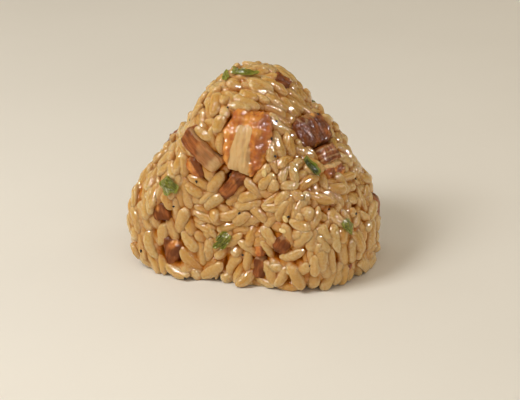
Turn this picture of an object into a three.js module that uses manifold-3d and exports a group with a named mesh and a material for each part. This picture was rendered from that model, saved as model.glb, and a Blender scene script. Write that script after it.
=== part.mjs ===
// A hand-pressed triangular rice ball with chunks of braised pork set into its faces.
// Millimetres, +Z up. X runs along the wide base, the front face looks along -Y and the base
// lies flat at z = 0. Each pork chunk is a solid of its own, sitting in a pocket in the rice.
import * as THREE from 'three';
import { mergeVertices } from 'three/addons/utils/BufferGeometryUtils.js';
import Module from 'manifold-3d';

// The pressed body. Its outline, seen from the front, wraps two round lower corners and a round top.
const HEIGHT = 62.9;
const THICKNESS = 47.8;
const CORNER_SPAN = 27.3; // between the centres of the two lower corners
const CORNER_RADIUS = 26.5;
const CORNER_LEVEL = 11.6; // height of the lower corners' centres
const TOP_RADIUS = 18.2;
const EDGE_ROUNDING = 13.5; // how far the outline draws in by the front and back faces
const EDGE_POWER = 1.9; // 2 would round the edges as an ellipse
const LEAN = THREE.MathUtils.degToRad(0.75); // hand pressing left the top a little to the right
const HEART = new THREE.Vector3(0, 0, 27); // every direction on the body starts here
const HALF_SIZE = new THREE.Vector3(CORNER_SPAN / 2 + CORNER_RADIUS, THICKNESS / 2, HEIGHT / 2);
const FACET_ROWS = 15; // rows of facets along each edge of the icosahedron that the body starts as

// Long shallow waves in the pressed faces: how many radians a millimetre along X, Y and Z adds.
const SWELLS = [
  { run: new THREE.Vector3(0.19, 0.12, 0.23), start: 1.1, height: 0.35 },
  { run: new THREE.Vector3(-0.27, 0.2, 0.41), start: 2.3, height: 0.25 },
];

// The outer grains, which make the surface uneven.
const GRAIN_LENGTH = 7;
const GRAIN_WIDTH = 3.6;
const GRAIN_COUNT = 620;
const GRAIN_RELIEF = 1.3; // from a grain's crown down to the gaps between grains
const GRAIN_TURN = 0.37; // radians, times the square of the grain's number: it lies any way round

// The pork chunks.
const CLEARANCE = 0.4; // between a chunk and what is round it
const POCKET_REACH = 9; // how far a pocket runs out past its chunk, so that nothing roofs it
const CHUNK_ROWS = { across: 3, along: 4, deep: 2 };
const CHUNK_LUMP = 0.035; // unevenness, as a share of the chunk's size
const LUMP_RUN = { across: 3.1, along: 2.7, deep: 2.3 }; // radians over half the chunk's size

const RICE_FINISH = { color: 0xd2a873, roughness: 0.45, metalness: 0 };
const LEAN_MEAT = { color: 0x7c4023, roughness: 0.4, metalness: 0 };
const GLAZED_MEAT = { color: 0xa85a26, roughness: 0.3, metalness: 0 };
const FAT = { color: 0xd8b078, roughness: 0.35, metalness: 0 };

// Where each chunk sits, as degrees round from the front face (positive to the right) and up from
// the heart's level, its spin in its own face, its size (across, along, deep) and how far its
// middle stands out of the rice. Squareness 2 is an ellipsoid. Taper widens its upper end.
const CHUNKS = [
  {
    name: 'pork_front_centre', round: 19.5, up: 38.5, spin: -7, size: [14.8, 21, 11],
    proud: 0.5, squareness: 2.9, taper: -0.04, finish: FAT,
  },
  {
    name: 'pork_front_slab', round: -16.2, up: 33.2, spin: 51, size: [5.6, 15, 7],
    proud: 0.6, squareness: 8, taper: 0.08, finish: LEAN_MEAT,
  },
  {
    name: 'pork_front_glazed', round: -21.2, up: 22, spin: 30, size: [6.2, 7.6, 7],
    proud: -0.4, squareness: 3, taper: 0, finish: GLAZED_MEAT,
  },
  {
    name: 'pork_front_middle', round: 6.8, up: 13.5, spin: -43, size: [4.6, 12, 7],
    proud: -0.1, squareness: 4, taper: 0.08, finish: LEAN_MEAT,
  },
  {
    name: 'pork_left_small', round: -42.5, up: -10.5, spin: 12, size: [5.6, 6.2, 6],
    proud: -0.7, squareness: 3, taper: -0.1, finish: LEAN_MEAT,
  },
  {
    name: 'pork_left_low', round: -38, up: -32, spin: -14, size: [5.8, 9.8, 7],
    proud: -0.2, squareness: 3.6, taper: 0.5, finish: LEAN_MEAT,
  },
  {
    name: 'pork_low_dark', round: 38, up: -21, spin: -24, size: [4.8, 6.8, 7],
    proud: 0, squareness: 2.8, taper: 0, finish: LEAN_MEAT,
  },
  {
    name: 'pork_low_glazed', round: 25.5, up: -28.7, spin: 8, size: [3.6, 3.6, 5],
    proud: 0.3, squareness: 2.4, taper: 0, finish: GLAZED_MEAT,
  },
  {
    name: 'pork_low_strip', round: 25, up: -37.3, spin: -12, size: [4.6, 7.4, 6],
    proud: 0, squareness: 3.6, taper: 0.05, finish: LEAN_MEAT,
  },
  {
    name: 'pork_ridge_upper', round: 86, up: 40, spin: -10, size: [15.4, 9.8, 9],
    proud: 0.9, squareness: 6, taper: -0.04, finish: LEAN_MEAT,
  },
  {
    name: 'pork_ridge_middle', round: 84, up: 23, spin: -8, size: [9.6, 5.8, 8],
    proud: 0.8, squareness: 7, taper: 0, finish: LEAN_MEAT,
  },
  {
    name: 'pork_ridge_lower', round: 81, up: 14.2, spin: -8, size: [9.2, 4.8, 7],
    proud: 0.5, squareness: 4.2, taper: 0, finish: GLAZED_MEAT,
  },
  {
    name: 'pork_top', round: 105, up: 71, spin: 20, size: [5, 5.6, 5],
    proud: 0.1, squareness: 3, taper: 0, finish: LEAN_MEAT,
  },
  {
    name: 'pork_right_side', round: 104, up: -13, spin: -25, size: [6.4, 9.2, 7],
    proud: 0.3, squareness: 3.2, taper: 0.1, finish: LEAN_MEAT,
  },
  {
    name: 'pork_left_side', round: -97, up: 17, spin: 35, size: [7, 10.5, 7],
    proud: 0.4, squareness: 3.4, taper: -0.1, finish: GLAZED_MEAT,
  },
  {
    name: 'pork_back_upper', round: 192, up: 33, spin: -38, size: [7.4, 13.5, 8],
    proud: 0.7, squareness: 4, taper: 0.1, finish: LEAN_MEAT,
  },
  {
    name: 'pork_back_centre', round: 168, up: 6, spin: 62, size: [9.5, 12.5, 8],
    proud: 0.8, squareness: 3.2, taper: 0, finish: FAT,
  },
  {
    name: 'pork_back_left', round: 216, up: -14, spin: 15, size: [6.4, 8.6, 7],
    proud: 0.3, squareness: 3, taper: -0.12, finish: LEAN_MEAT,
  },
  {
    name: 'pork_back_right', round: 140, up: -20, spin: -20, size: [7, 7.6, 7],
    proud: 0.4, squareness: 2.8, taper: 0.1, finish: GLAZED_MEAT,
  },
  {
    name: 'pork_back_low', round: 184, up: -33, spin: 80, size: [5.6, 9.4, 6],
    proud: 0.2, squareness: 3.4, taper: 0, finish: LEAN_MEAT,
  },
];

const wasm = await Module();
wasm.setup();

function solidFrom(geometry) {
  const bare = geometry.clone();
  bare.deleteAttribute('normal');
  bare.deleteAttribute('uv');
  const merged = mergeVertices(bare, 1e-4);
  const mesh = new wasm.Mesh({
    numProp: 3,
    vertProperties: new Float32Array(merged.attributes.position.array),
    triVerts: new Uint32Array(merged.index.array),
  });
  return new wasm.Manifold(mesh);
}

function geometryFrom(solid) {
  const mesh = solid.getMesh();
  const geometry = new THREE.BufferGeometry();
  geometry.setAttribute('position', new THREE.BufferAttribute(mesh.vertProperties, mesh.numProp));
  geometry.setIndex(new THREE.BufferAttribute(mesh.triVerts, 1));
  return geometry;
}

// How far the point lies outside the front outline: negative inside, zero on the outline.
function outsideOutline(across, up) {
  const side = Math.abs(across);
  const topLevel = HEIGHT - TOP_RADIUS;
  const flank = new THREE.Vector2(-CORNER_SPAN / 2, topLevel - CORNER_LEVEL);
  const flankLength = flank.length();
  flank.normalize();
  const sine = (CORNER_RADIUS - TOP_RADIUS) / flankLength;
  const cosine = Math.sqrt(1 - sine * sine);
  const fromCorner = new THREE.Vector2(side - CORNER_SPAN / 2, up - CORNER_LEVEL);
  const along = fromCorner.dot(flank);
  const out = fromCorner.x * flank.y - fromCorner.y * flank.x;
  if (side < CORNER_SPAN / 2 && out <= 0) {
    return -Math.min(CORNER_RADIUS, up - CORNER_LEVEL + CORNER_RADIUS);
  }
  const turn = cosine * along - sine * out;
  if (turn < 0) return fromCorner.length() - CORNER_RADIUS;
  if (turn > cosine * flankLength) return Math.hypot(side, up - topLevel) - TOP_RADIUS;
  return sine * along + cosine * out - CORNER_RADIUS;
}

// The body's own level: the outline, drawn in towards the front and back faces.
function level(point) {
  const upright = point.x - Math.tan(LEAN) * point.z;
  const depth = Math.min(1, Math.abs(point.y) / (THICKNESS / 2));
  const drawnIn = EDGE_ROUNDING * (1 - (1 - depth ** EDGE_POWER) ** (1 / EDGE_POWER));
  return outsideOutline(upright, point.z) + drawnIn;
}

// The point where a direction from the heart leaves the smooth body.
function surfacePoint(direction) {
  let inner = 0;
  let outer = Math.min(HALF_SIZE.y / Math.abs(direction.y), HEIGHT);
  const point = new THREE.Vector3();
  for (let halving = 0; halving < 40; halving += 1) {
    const middle = (inner + outer) / 2;
    point.copy(HEART).addScaledVector(direction, middle);
    if (level(point) < 0) inner = middle;
    else outer = middle;
  }
  return point.copy(HEART).addScaledVector(direction, inner);
}

function directionFrom(round, up) {
  const bearing = THREE.MathUtils.degToRad(round);
  const rise = THREE.MathUtils.degToRad(up);
  return new THREE.Vector3(
    Math.sin(bearing) * Math.cos(rise), -Math.cos(bearing) * Math.cos(rise), Math.sin(rise),
  );
}

// A frame standing on the surface: its x axis level, its y axis uphill, its z axis outward. It is
// squared to the mean slope within the reach, in millimetres, round the origin.
function surfaceFrame(direction, reach) {
  const origin = surfacePoint(direction);
  const spread = reach / origin.distanceTo(HEART);
  const sideways = new THREE.Vector3(0, 0, 1).cross(direction).normalize();
  const uphill = direction.clone().cross(sideways);
  const right = surfacePoint(direction.clone().addScaledVector(sideways, spread).normalize());
  const left = surfacePoint(direction.clone().addScaledVector(sideways, -spread).normalize());
  const above = surfacePoint(direction.clone().addScaledVector(uphill, spread).normalize());
  const below = surfacePoint(direction.clone().addScaledVector(uphill, -spread).normalize());
  const outward = right.sub(left).cross(above.sub(below)).normalize();
  const across = new THREE.Vector3(0, 0, 1).cross(outward).normalize();
  const along = outward.clone().cross(across);
  return { origin, across, along, outward };
}

// Grains lie flat on the surface, spread evenly by a spiral and turned to all sides.
function outerGrains() {
  const goldenTurn = Math.PI * (3 - Math.sqrt(5));
  return Array.from({ length: GRAIN_COUNT }, (_, i) => {
    const rise = 1 - (2 * (i + 0.5)) / GRAIN_COUNT;
    const girth = Math.sqrt(1 - rise * rise);
    const direction = new THREE.Vector3(
      girth * Math.cos(i * goldenTurn), girth * Math.sin(i * goldenTurn), rise,
    ).multiply(HALF_SIZE).normalize();
    const { origin, across, along, outward } = surfaceFrame(direction, GRAIN_WIDTH / 2);
    const turn = GRAIN_TURN * i * i;
    return {
      origin,
      length: across.clone().applyAxisAngle(outward, turn),
      width: along.clone().applyAxisAngle(outward, turn),
    };
  });
}

// How much of a grain stands over the point: 1 at a grain's crown, 0 in the gaps.
function grainCover(point, grains) {
  const offset = new THREE.Vector3();
  let cover = 0;
  for (const grain of grains) {
    offset.subVectors(point, grain.origin);
    if (offset.lengthSq() < GRAIN_LENGTH ** 2 / 4) {
      const alongGrain = offset.dot(grain.length) / (GRAIN_LENGTH / 2);
      const acrossGrain = offset.dot(grain.width) / (GRAIN_WIDTH / 2);
      cover = Math.max(cover, 1 - alongGrain ** 2 - acrossGrain ** 2);
    }
  }
  return Math.sqrt(cover);
}

function swell(point) {
  return SWELLS.reduce((sum, wave) => sum + wave.height * Math.sin(wave.run.dot(point) + wave.start), 0);
}

// The rice before the pockets: faceted directions from the heart, each carried out to the smooth
// body and set back between the grains, then sliced flat at the base.
function pressedRice() {
  const grains = outerGrains();
  const shape = new THREE.IcosahedronGeometry(1, FACET_ROWS - 1);
  const places = shape.attributes.position;
  const direction = new THREE.Vector3();
  for (let i = 0; i < places.count; i += 1) {
    direction.fromBufferAttribute(places, i).multiply(HALF_SIZE).normalize();
    const point = surfacePoint(direction);
    const setBack = GRAIN_RELIEF * (1 - grainCover(point, grains)) - swell(point);
    point.addScaledVector(direction, -setBack);
    places.setXYZ(i, point.x, point.y, point.z);
  }
  const slab = new THREE.BoxGeometry(4 * HALF_SIZE.x, 4 * HALF_SIZE.y, HEIGHT);
  slab.translate(0, 0, -HEIGHT / 2);
  return solidFrom(shape).subtract(solidFrom(slab));
}

// How far the body falls away from the frame's plane, half a chunk's size off to either side.
function fallAway(origin, outward, axis, half) {
  const drops = [-half, half].map((offset) => {
    const towards = origin.clone().addScaledVector(axis, offset).sub(HEART).normalize();
    return surfacePoint(towards).sub(origin).dot(outward);
  });
  return -(drops[0] + drops[1]) / 2;
}

// The chunk's frame, its middle standing proud of the rice and its face looking outward, and how
// much the chunk curves down at its sides and ends to follow the pressed body.
function chunkSeat(chunk) {
  const [width, length, depth] = chunk.size;
  const direction = directionFrom(chunk.round, chunk.up);
  const { origin, across, along, outward } = surfaceFrame(direction, (width + length) / 4);
  const spin = THREE.MathUtils.degToRad(chunk.spin);
  across.applyAxisAngle(outward, spin);
  along.applyAxisAngle(outward, spin);
  const curve = {
    across: fallAway(origin, outward, across, width / 2),
    along: fallAway(origin, outward, along, length / 2),
  };
  const sunk = origin.clone().addScaledVector(outward, chunk.proud - depth / 2);
  return { placement: new THREE.Matrix4().makeBasis(across, along, outward).setPosition(sunk), curve };
}

// A rounded, lumpy block in its own frame: x across, y along, z outward. With room it is the
// hollow that the block needs, and with reach that hollow runs on outward.
function chunkShape(chunk, curve, seed, room, reach) {
  const { across, along, deep } = CHUNK_ROWS;
  const shape = new THREE.BoxGeometry(2, 2, 2, across, along, deep);
  const places = shape.attributes.position;
  const [width, length, depth] = chunk.size;
  const point = new THREE.Vector3();
  for (let i = 0; i < places.count; i += 1) {
    point.fromBufferAttribute(places, i);
    const powers = point.toArray().map((n) => Math.abs(n) ** chunk.squareness);
    const round = (powers[0] + powers[1] + powers[2]) ** (-1 / chunk.squareness);
    const ripple = Math.sin(LUMP_RUN.across * point.x + 2 * seed) * Math.cos(LUMP_RUN.along * point.y - seed);
    const lump = CHUNK_LUMP * (ripple + Math.sin(LUMP_RUN.deep * point.z + seed));
    point.multiplyScalar(round * (1 + lump));
    const halfWidth = (width / 2) * (1 + chunk.taper * point.y) + room;
    const drop = curve.across * point.x ** 2 + curve.along * point.y ** 2;
    const outward = point.z * (depth / 2 + room) + (point.z > 0 ? reach : 0) - drop;
    places.setXYZ(i, point.x * halfWidth, point.y * (length / 2 + room), outward);
  }
  return shape;
}

function namedMesh(name, geometry, finish) {
  geometry.computeVertexNormals();
  const mesh = new THREE.Mesh(geometry, new THREE.MeshStandardMaterial(finish));
  mesh.name = name;
  return mesh;
}

const ball = new THREE.Group();
let rice = pressedRice();
const chunksSoFar = [];

CHUNKS.forEach((chunk, seed) => {
  const { placement, curve } = chunkSeat(chunk);
  const placed = (room, reach) => {
    return solidFrom(chunkShape(chunk, curve, seed, room, reach).applyMatrix4(placement));
  };
  const solid = chunksSoFar.reduce((left, neighbour) => left.subtract(neighbour), placed(0, 0));
  chunksSoFar.push(placed(CLEARANCE, 0));
  rice = rice.subtract(placed(CLEARANCE, POCKET_REACH));

  const geometry = geometryFrom(solid).applyMatrix4(placement.clone().invert());
  const mesh = namedMesh(chunk.name, geometry, chunk.finish);
  mesh.applyMatrix4(placement);
  ball.add(mesh);
});

ball.add(namedMesh('rice_body', geometryFrom(rice), RICE_FINISH));

// The middle of the base's bounding rectangle is the origin.
const extent = new THREE.Box3().setFromObject(ball, true);
const middle = extent.getCenter(new THREE.Vector3());
ball.position.set(-middle.x, -middle.y, -extent.min.z);

const part = new THREE.Group();
part.add(ball);
export default part;
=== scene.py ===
"""A hand-pressed rice ball: sticky seasoned rice, braised pork, chopped green onion, sesame, pepper.

Laid out as an add-on with one operator for each kind of piece, and run as a script. Shapes are
worked out in millimetres in the model's own frame and turned into metres where a mesh is made.
"""

import math

import bpy
import numpy as np
from bpy.props import FloatProperty, FloatVectorProperty, IntProperty, PointerProperty
from mathutils import Matrix, Vector
from mathutils.bvhtree import BVHTree


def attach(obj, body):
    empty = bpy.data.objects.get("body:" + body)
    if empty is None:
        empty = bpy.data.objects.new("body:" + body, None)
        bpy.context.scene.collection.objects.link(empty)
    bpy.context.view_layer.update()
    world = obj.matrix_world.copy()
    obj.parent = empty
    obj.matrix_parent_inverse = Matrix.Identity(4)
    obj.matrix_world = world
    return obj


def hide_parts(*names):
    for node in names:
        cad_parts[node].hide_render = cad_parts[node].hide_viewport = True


bl_info = {
    "name": "Pressed rice ball",
    "version": (1, 0, 0),
    "blender": (4, 5, 0),
    "location": "3D View > Sidebar > Rice ball",
    "description": "Builds a triangular rice ball grain by grain, with braised pork and garnish",
    "category": "Object",
}

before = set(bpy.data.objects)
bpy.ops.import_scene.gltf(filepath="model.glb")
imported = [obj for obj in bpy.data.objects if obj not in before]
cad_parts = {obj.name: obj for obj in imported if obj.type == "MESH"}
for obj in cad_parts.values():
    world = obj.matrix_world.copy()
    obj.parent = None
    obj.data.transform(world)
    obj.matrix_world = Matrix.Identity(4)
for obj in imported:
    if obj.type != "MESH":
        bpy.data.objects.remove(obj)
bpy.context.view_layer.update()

MM = 0.001
BODY = "root"

# How high above the floor the grains' lowest points stay, and those of everything else, in
# millimetres.
GRAIN_FLOOR = 0.02
OTHER_FLOOR = 0.05

# The pressed body, in millimetres, as the solids of the frame have it.
HEIGHT = 62.9
THICKNESS = 47.8
CORNER_SPAN = 27.3
CORNER_RADIUS = 26.5
CORNER_LEVEL = 11.6
TOP_RADIUS = 18.2
EDGE_ROUNDING = 13.5
EDGE_POWER = 1.9
LEAN = math.radians(0.75)
HEART = np.array((0.0, 0.0, 27.0))

# Pork chunks, as the solids of the frame have them: degrees round and up from the heart, spin in
# its own face, size across, along and deep, how far it stands proud, squareness (2 is an
# ellipsoid), taper towards its upper end, and the kind of meat.
CHUNKS = {
    "pork_front_centre": (19.5, 38.5, -7, (14.8, 21, 11), 0.5, 2.9, -0.04, "belly"),
    "pork_front_slab": (-16.2, 33.2, 51, (5.6, 15, 7), 0.6, 8, 0.08, "slab"),
    "pork_front_glazed": (-21.2, 22, 30, (6.2, 7.6, 7), -0.4, 3, 0, "glazed"),
    "pork_front_middle": (6.8, 13.5, -43, (4.6, 12, 7), -0.1, 4, 0.08, "reddish"),
    "pork_left_small": (-42.5, -10.5, 12, (5.6, 6.2, 6), -0.7, 3, -0.1, "seared"),
    "pork_left_low": (-38, -32, -14, (5.8, 9.8, 7), -0.2, 3.6, 0.5, "braised"),
    "pork_low_dark": (38, -21, -24, (4.8, 6.8, 7), 0, 2.8, 0, "dark"),
    "pork_low_glazed": (25.5, -28.7, 8, (3.6, 3.6, 5), 0.3, 2.4, 0, "glazed"),
    "pork_low_strip": (25, -37.3, -12, (4.6, 7.4, 6), 0, 3.6, 0.05, "reddish"),
    "pork_ridge_upper": (86, 40, -10, (15.4, 9.8, 9), 0.9, 6, -0.04, "dark"),
    "pork_ridge_middle": (84, 23, -8, (9.6, 5.8, 8), 0.8, 7, 0, "striped"),
    "pork_ridge_lower": (81, 14.2, -8, (9.2, 4.8, 7), 0.5, 4.2, 0, "flaky"),
    "pork_top": (105, 71, 20, (5, 5.6, 5), 0.1, 3, 0, "dark"),
    "pork_right_side": (104, -13, -25, (6.4, 9.2, 7), 0.3, 3.2, 0.1, "lean"),
    "pork_left_side": (-97, 17, 35, (7, 10.5, 7), 0.4, 3.4, -0.1, "glazed"),
    "pork_back_upper": (192, 33, -38, (7.4, 13.5, 8), 0.7, 4, 0.1, "lean"),
    "pork_back_centre": (168, 6, 62, (9.5, 12.5, 8), 0.8, 3.2, 0, "belly"),
    "pork_back_left": (216, -14, 15, (6.4, 8.6, 7), 0.3, 3, -0.12, "lean"),
    "pork_back_right": (140, -20, -20, (7, 7.6, 7), 0.4, 2.8, 0.1, "glazed"),
    "pork_back_low": (184, -33, 80, (5.6, 9.4, 6), 0.2, 3.4, 0, "dark"),
}

# Grains that stand out on the faces: degrees round and up, spin, length, width, and how pale.
MARKED_GRAINS = (
    (43, 21.5, 74, 6.8, 3.6, 1.0),
    (50, 19, -84, 6.8, 3.5, 0.95),
    (45.7, 13.6, 10, 6.4, 3.3, 1.0),
    (35, 0.6, 18, 7.9, 3.3, 0.6),
    (41, 7, 33, 5.6, 3.2, 0.5),
    (30.6, -19, -65, 8.3, 3.5, 0.6),
    (47, -6.7, -46, 7.3, 3.4, 0.5),
    (53.5, -4.7, 71, 7.6, 3.7, 0.6),
    (46.7, -15.2, 36, 8.6, 3.2, 0.6),
    (43.5, -24.7, 24, 8.4, 3.5, 0.7),
    (32.8, -36, 29, 7.6, 3.5, 0.75),
    (46.5, -28.5, 17, 6, 3.2, 0.7),
    (51.3, -25.3, -59, 7.0, 3.2, 0.6),
    (55.5, -23, -86, 8.2, 3.2, 0.6),
    (59.3, -23.6, -85, 8.2, 3.0, 0.5),
    (58.6, -12, -50, 7.8, 3.8, 0.8),
    (56, -15, -35, 7.5, 3.2, 0.8),
    (38, -36, 48, 8.2, 3.3, 0.6),
    (19, 4.8, 47, 7.0, 3.8, 0.4),
    (30.8, 16.6, 51, 7.3, 3.8, 0.5),
    (13.4, -11, 31, 7.5, 3.4, 0.5),
    (25.2, -5.7, -49, 7.0, 3.8, 0.3),
    (6.5, -41, 52, 8.4, 3.8, 0.5),
    (17.6, -37, -86, 7.7, 3.2, 0.4),
    (-6.3, 14.3, 58, 8.6, 3.9, 0.4),
    (-16, 42.3, -31, 6.8, 3.3, 0.5),
    (-2, 48, 82, 6, 3.3, 0.4),
    (15, 59.5, -29, 6.4, 3.9, 0.9),
    (36.7, 34.3, 69, 7.2, 3.2, 0.7),
    (-31.5, 22.4, -61, 7.4, 3.5, 0.5),
    (-38.8, 16.8, -56, 6.8, 3.4, 0.5),
    (-22.8, 5.2, -32, 7.5, 3.8, 0.4),
)

# Where neighbouring grains lie side by side: degrees round and up, spin, reach in millimetres.
LAYS = (
    (69, 64, -68, 11),
    (60, -26, -85, 9),
    (-52, -15, -76, 12),
)


# ---- The pressed body as a field: how far a point lies outside it, in millimetres ----
def outside_outline(across, up):
    """How far points lie outside the front outline, the hull of two low circles and a top one."""
    side = np.abs(across)
    top_level = HEIGHT - TOP_RADIUS
    flank = np.array((-CORNER_SPAN / 2, top_level - CORNER_LEVEL))
    flank_length = np.hypot(*flank)
    flank = flank / flank_length
    sine = (CORNER_RADIUS - TOP_RADIUS) / flank_length
    cosine = math.sqrt(1 - sine * sine)
    dx = side - CORNER_SPAN / 2
    dz = up - CORNER_LEVEL
    along = dx * flank[0] + dz * flank[1]
    out = dx * flank[1] - dz * flank[0]
    turn = cosine * along - sine * out
    corner = np.hypot(dx, dz) - CORNER_RADIUS
    top = np.hypot(side, up - top_level) - TOP_RADIUS
    straight = sine * along + cosine * out - CORNER_RADIUS
    edge = np.where(turn < 0, corner, np.where(turn > cosine * flank_length, top, straight))
    inner = -np.minimum(CORNER_RADIUS, dz + CORNER_RADIUS)
    return np.where((side < CORNER_SPAN / 2) & (out <= 0), inner, edge)


def body_level(points):
    """How far points lie outside the pressed body; the front and back faces count as walls too."""
    upright = points[:, 0] - math.tan(LEAN) * points[:, 2]
    depth = np.clip(np.abs(points[:, 1]) / (THICKNESS / 2), 0, 1)
    drawn_in = EDGE_ROUNDING * (1 - (1 - depth**EDGE_POWER) ** (1 / EDGE_POWER))
    level = outside_outline(upright, points[:, 2]) + drawn_in
    return np.maximum(level, np.abs(points[:, 1]) - THICKNESS / 2)


def slope_of(field, points, step=0.05):
    """The slope of a field of points, by differences."""
    slope = np.empty_like(points)
    for axis in range(3):
        shift = np.zeros(3)
        shift[axis] = step
        slope[:, axis] = (field(points + shift) - field(points - shift)) / (2 * step)
    return slope


def body_skin(points):
    """Signed distance to the body's skin and the outward normal, to first order, in millimetres."""
    level = body_level(points)
    slope = slope_of(body_level, points)
    size = np.maximum(np.linalg.norm(slope, axis=1), 1e-6)
    face = np.abs(points[:, 1]) - THICKNESS / 2
    distance = np.where(level <= face + 1e-9, face, level / np.maximum(size, 1.0))
    return distance, slope / size[:, None]


def skin_reach(ways, halvings=32):
    """How far each way from the heart runs before it leaves the body, by halving a span."""
    inner = np.zeros(len(ways))
    outer = np.full(len(ways), HEIGHT)
    for _ in range(halvings):
        middle = (inner + outer) / 2
        inside = body_level(HEART + ways * middle[:, None]) < 0
        inner = np.where(inside, middle, inner)
        outer = np.where(inside, outer, middle)
    return inner


def surface_point(way):
    """Where a way from the heart leaves the body."""
    return HEART + way * skin_reach(way[None])[0]


def direction_from(round_deg, up_deg):
    """The way from the heart, degrees round from the front face and degrees up."""
    bearing = math.radians(round_deg)
    rise = math.radians(up_deg)
    flat = math.cos(rise)
    return np.array((math.sin(bearing) * flat, -math.cos(bearing) * flat, math.sin(rise)))


def unit(vectors):
    """Vectors of unit length, one or a row of them."""
    return vectors / np.maximum(np.linalg.norm(vectors, axis=-1, keepdims=True), 1e-9)


def surface_frame(direction, reach):
    """A frame on the surface, squared to its mean slope within the reach: level, uphill, out."""
    origin = surface_point(direction)
    spread = reach / np.linalg.norm(origin - HEART)
    sideways = unit(np.cross((0, 0, 1), direction))
    uphill = np.cross(direction, sideways)
    right, left = (surface_point(unit(direction + s * spread * sideways)) for s in (1, -1))
    above, below = (surface_point(unit(direction + s * spread * uphill)) for s in (1, -1))
    outward = unit(np.cross(right - left, above - below))
    across = unit(np.cross((0, 0, 1), outward))
    return origin, across, np.cross(outward, across), outward


def spun_frame(round_deg, up_deg, spin_deg, reach):
    """A surface frame turned in its own plane, as its origin and its axes in columns."""
    origin, across, along, out = surface_frame(direction_from(round_deg, up_deg), reach)
    spin = math.radians(spin_deg)
    turned = math.cos(spin) * across + math.sin(spin) * along
    return origin, np.stack((turned, np.cross(out, turned), out), axis=1)


# ---- Uneven shapes ----
def ripple(points, size, seed, waves=24):
    """A smooth random field of about unit height, its lumps about the given size in millimetres."""
    rng = np.random.default_rng(seed)
    runs = unit(rng.normal(size=(waves, 3))) * (2 * np.pi / size * rng.uniform(0.6, 1.25, (waves, 1)))
    starts = rng.uniform(0, 2 * np.pi, waves)
    return np.cos(points @ runs.T + starts).sum(axis=1) / math.sqrt(waves / 2)


def blend(low, high, value):
    """0 below the low bound, 1 above the high one, smooth between."""
    share = np.clip((value - low) / (high - low), 0, 1)
    return share * share * (3 - 2 * share)


def cube_lattice(cells):
    """Points all over a cube from -1 to 1 with so many cells to an edge, and the faces over it."""
    steps = np.arange(cells + 1)
    one, two = np.meshgrid(steps, steps, indexing="ij")
    corner = np.arange((cells + 1) ** 2).reshape(cells + 1, cells + 1)
    quads = np.stack((corner[:-1, :-1], corner[1:, :-1], corner[1:, 1:], corner[:-1, 1:]), -1)
    quads = quads.reshape(-1, 4)
    sides = []
    faces = []
    for axis in range(3):
        for level in (0, cells):
            grid = np.empty((cells + 1, cells + 1, 3), int)
            grid[..., axis] = level
            grid[..., (axis + 1) % 3] = one
            grid[..., (axis + 2) % 3] = two
            faces.append((quads if level else quads[:, ::-1]) + corner.size * len(sides))
            sides.append(grid.reshape(-1, 3))
    lattice, index = np.unique(np.concatenate(sides), axis=0, return_inverse=True)
    return lattice / (cells / 2) - 1, index.reshape(-1)[np.concatenate(faces)]


def smoothed(values, faces, times):
    """Values at the corners of quads, each time moved halfway to the mean of their neighbours."""
    near = np.concatenate([faces[:, corner] for corner in range(4)])
    far = np.concatenate([faces[:, (corner + 1) % 4] for corner in range(4)])
    count = len(values)
    many = np.bincount(near, minlength=count) + np.bincount(far, minlength=count)
    for _ in range(times):
        total = np.bincount(near, values[far], count) + np.bincount(far, values[near], count)
        values = (values + total / many) / 2
    return values


# ---- Meshes from arrays ----
def add_mark(mesh, mark, values):
    """Gives each point of a mesh a value or a vector under a name."""
    kind, field = ("FLOAT", "value") if values.ndim == 1 else ("FLOAT_VECTOR", "vector")
    layer = mesh.attributes.new(mark, kind, "POINT")
    layer.data.foreach_set(field, values.astype(np.float32).ravel())


def new_piece(name, points, faces, material, marks=None, replaced=()):
    """A smooth piece from millimetre points and arrays of faces, with a value or vector a point."""
    mesh = bpy.data.meshes.new(name)
    corners = np.concatenate([part.ravel() for part in faces])
    lengths = np.concatenate([np.full(len(part), part.shape[1]) for part in faces])
    mesh.vertices.add(len(points))
    mesh.vertices.foreach_set("co", (points * MM).astype(np.float32).ravel())
    mesh.loops.add(len(corners))
    mesh.loops.foreach_set("vertex_index", corners.astype(np.int32))
    mesh.polygons.add(len(lengths))
    starts = np.concatenate(([0], np.cumsum(lengths)[:-1]))
    mesh.polygons.foreach_set("loop_start", starts.astype(np.int32))
    mesh.update(calc_edges=True)
    mesh.shade_smooth()
    for mark, values in (marks or {}).items():
        add_mark(mesh, mark, values)
    mesh.materials.append(material)
    piece = bpy.data.objects.new(name, mesh)
    bpy.context.scene.collection.objects.link(piece)
    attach(piece, BODY)
    if replaced:
        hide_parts(*replaced)
    return piece


def bead_faces(rings, around):
    """Faces of a closed bead: a pole, rings of points and a pole, numbered in that order."""
    here = np.arange(around)
    following = (here + 1) % around
    sides = []
    for ring in range(rings - 1):
        low = 1 + ring * around
        high = low + around
        sides.append(np.stack((low + here, low + following, high + following, high + here), 1))
    last = 1 + (rings - 1) * around
    start = np.stack((np.zeros(around, int), 1 + following, 1 + here), 1)
    end = np.stack((np.full(around, last + around), last + here, last + following), 1)
    return np.concatenate((start, end)), np.concatenate(sides)


def repeated(faces, count, each):
    """The same faces over for each of many like shapes whose points follow each other."""
    return (faces[None] + (np.arange(count) * each)[:, None, None]).reshape(-1, faces.shape[1])


def lifted(points, least):
    """The same points, none of them lower than the least height."""
    points[:, 2] = np.maximum(points[:, 2], least)
    return points


def mesh_points(mesh):
    """The points of a mesh, in millimetres."""
    places = np.empty(3 * len(mesh.vertices), np.float32)
    mesh.vertices.foreach_get("co", places)
    return places.reshape(-1, 3) / MM


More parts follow.
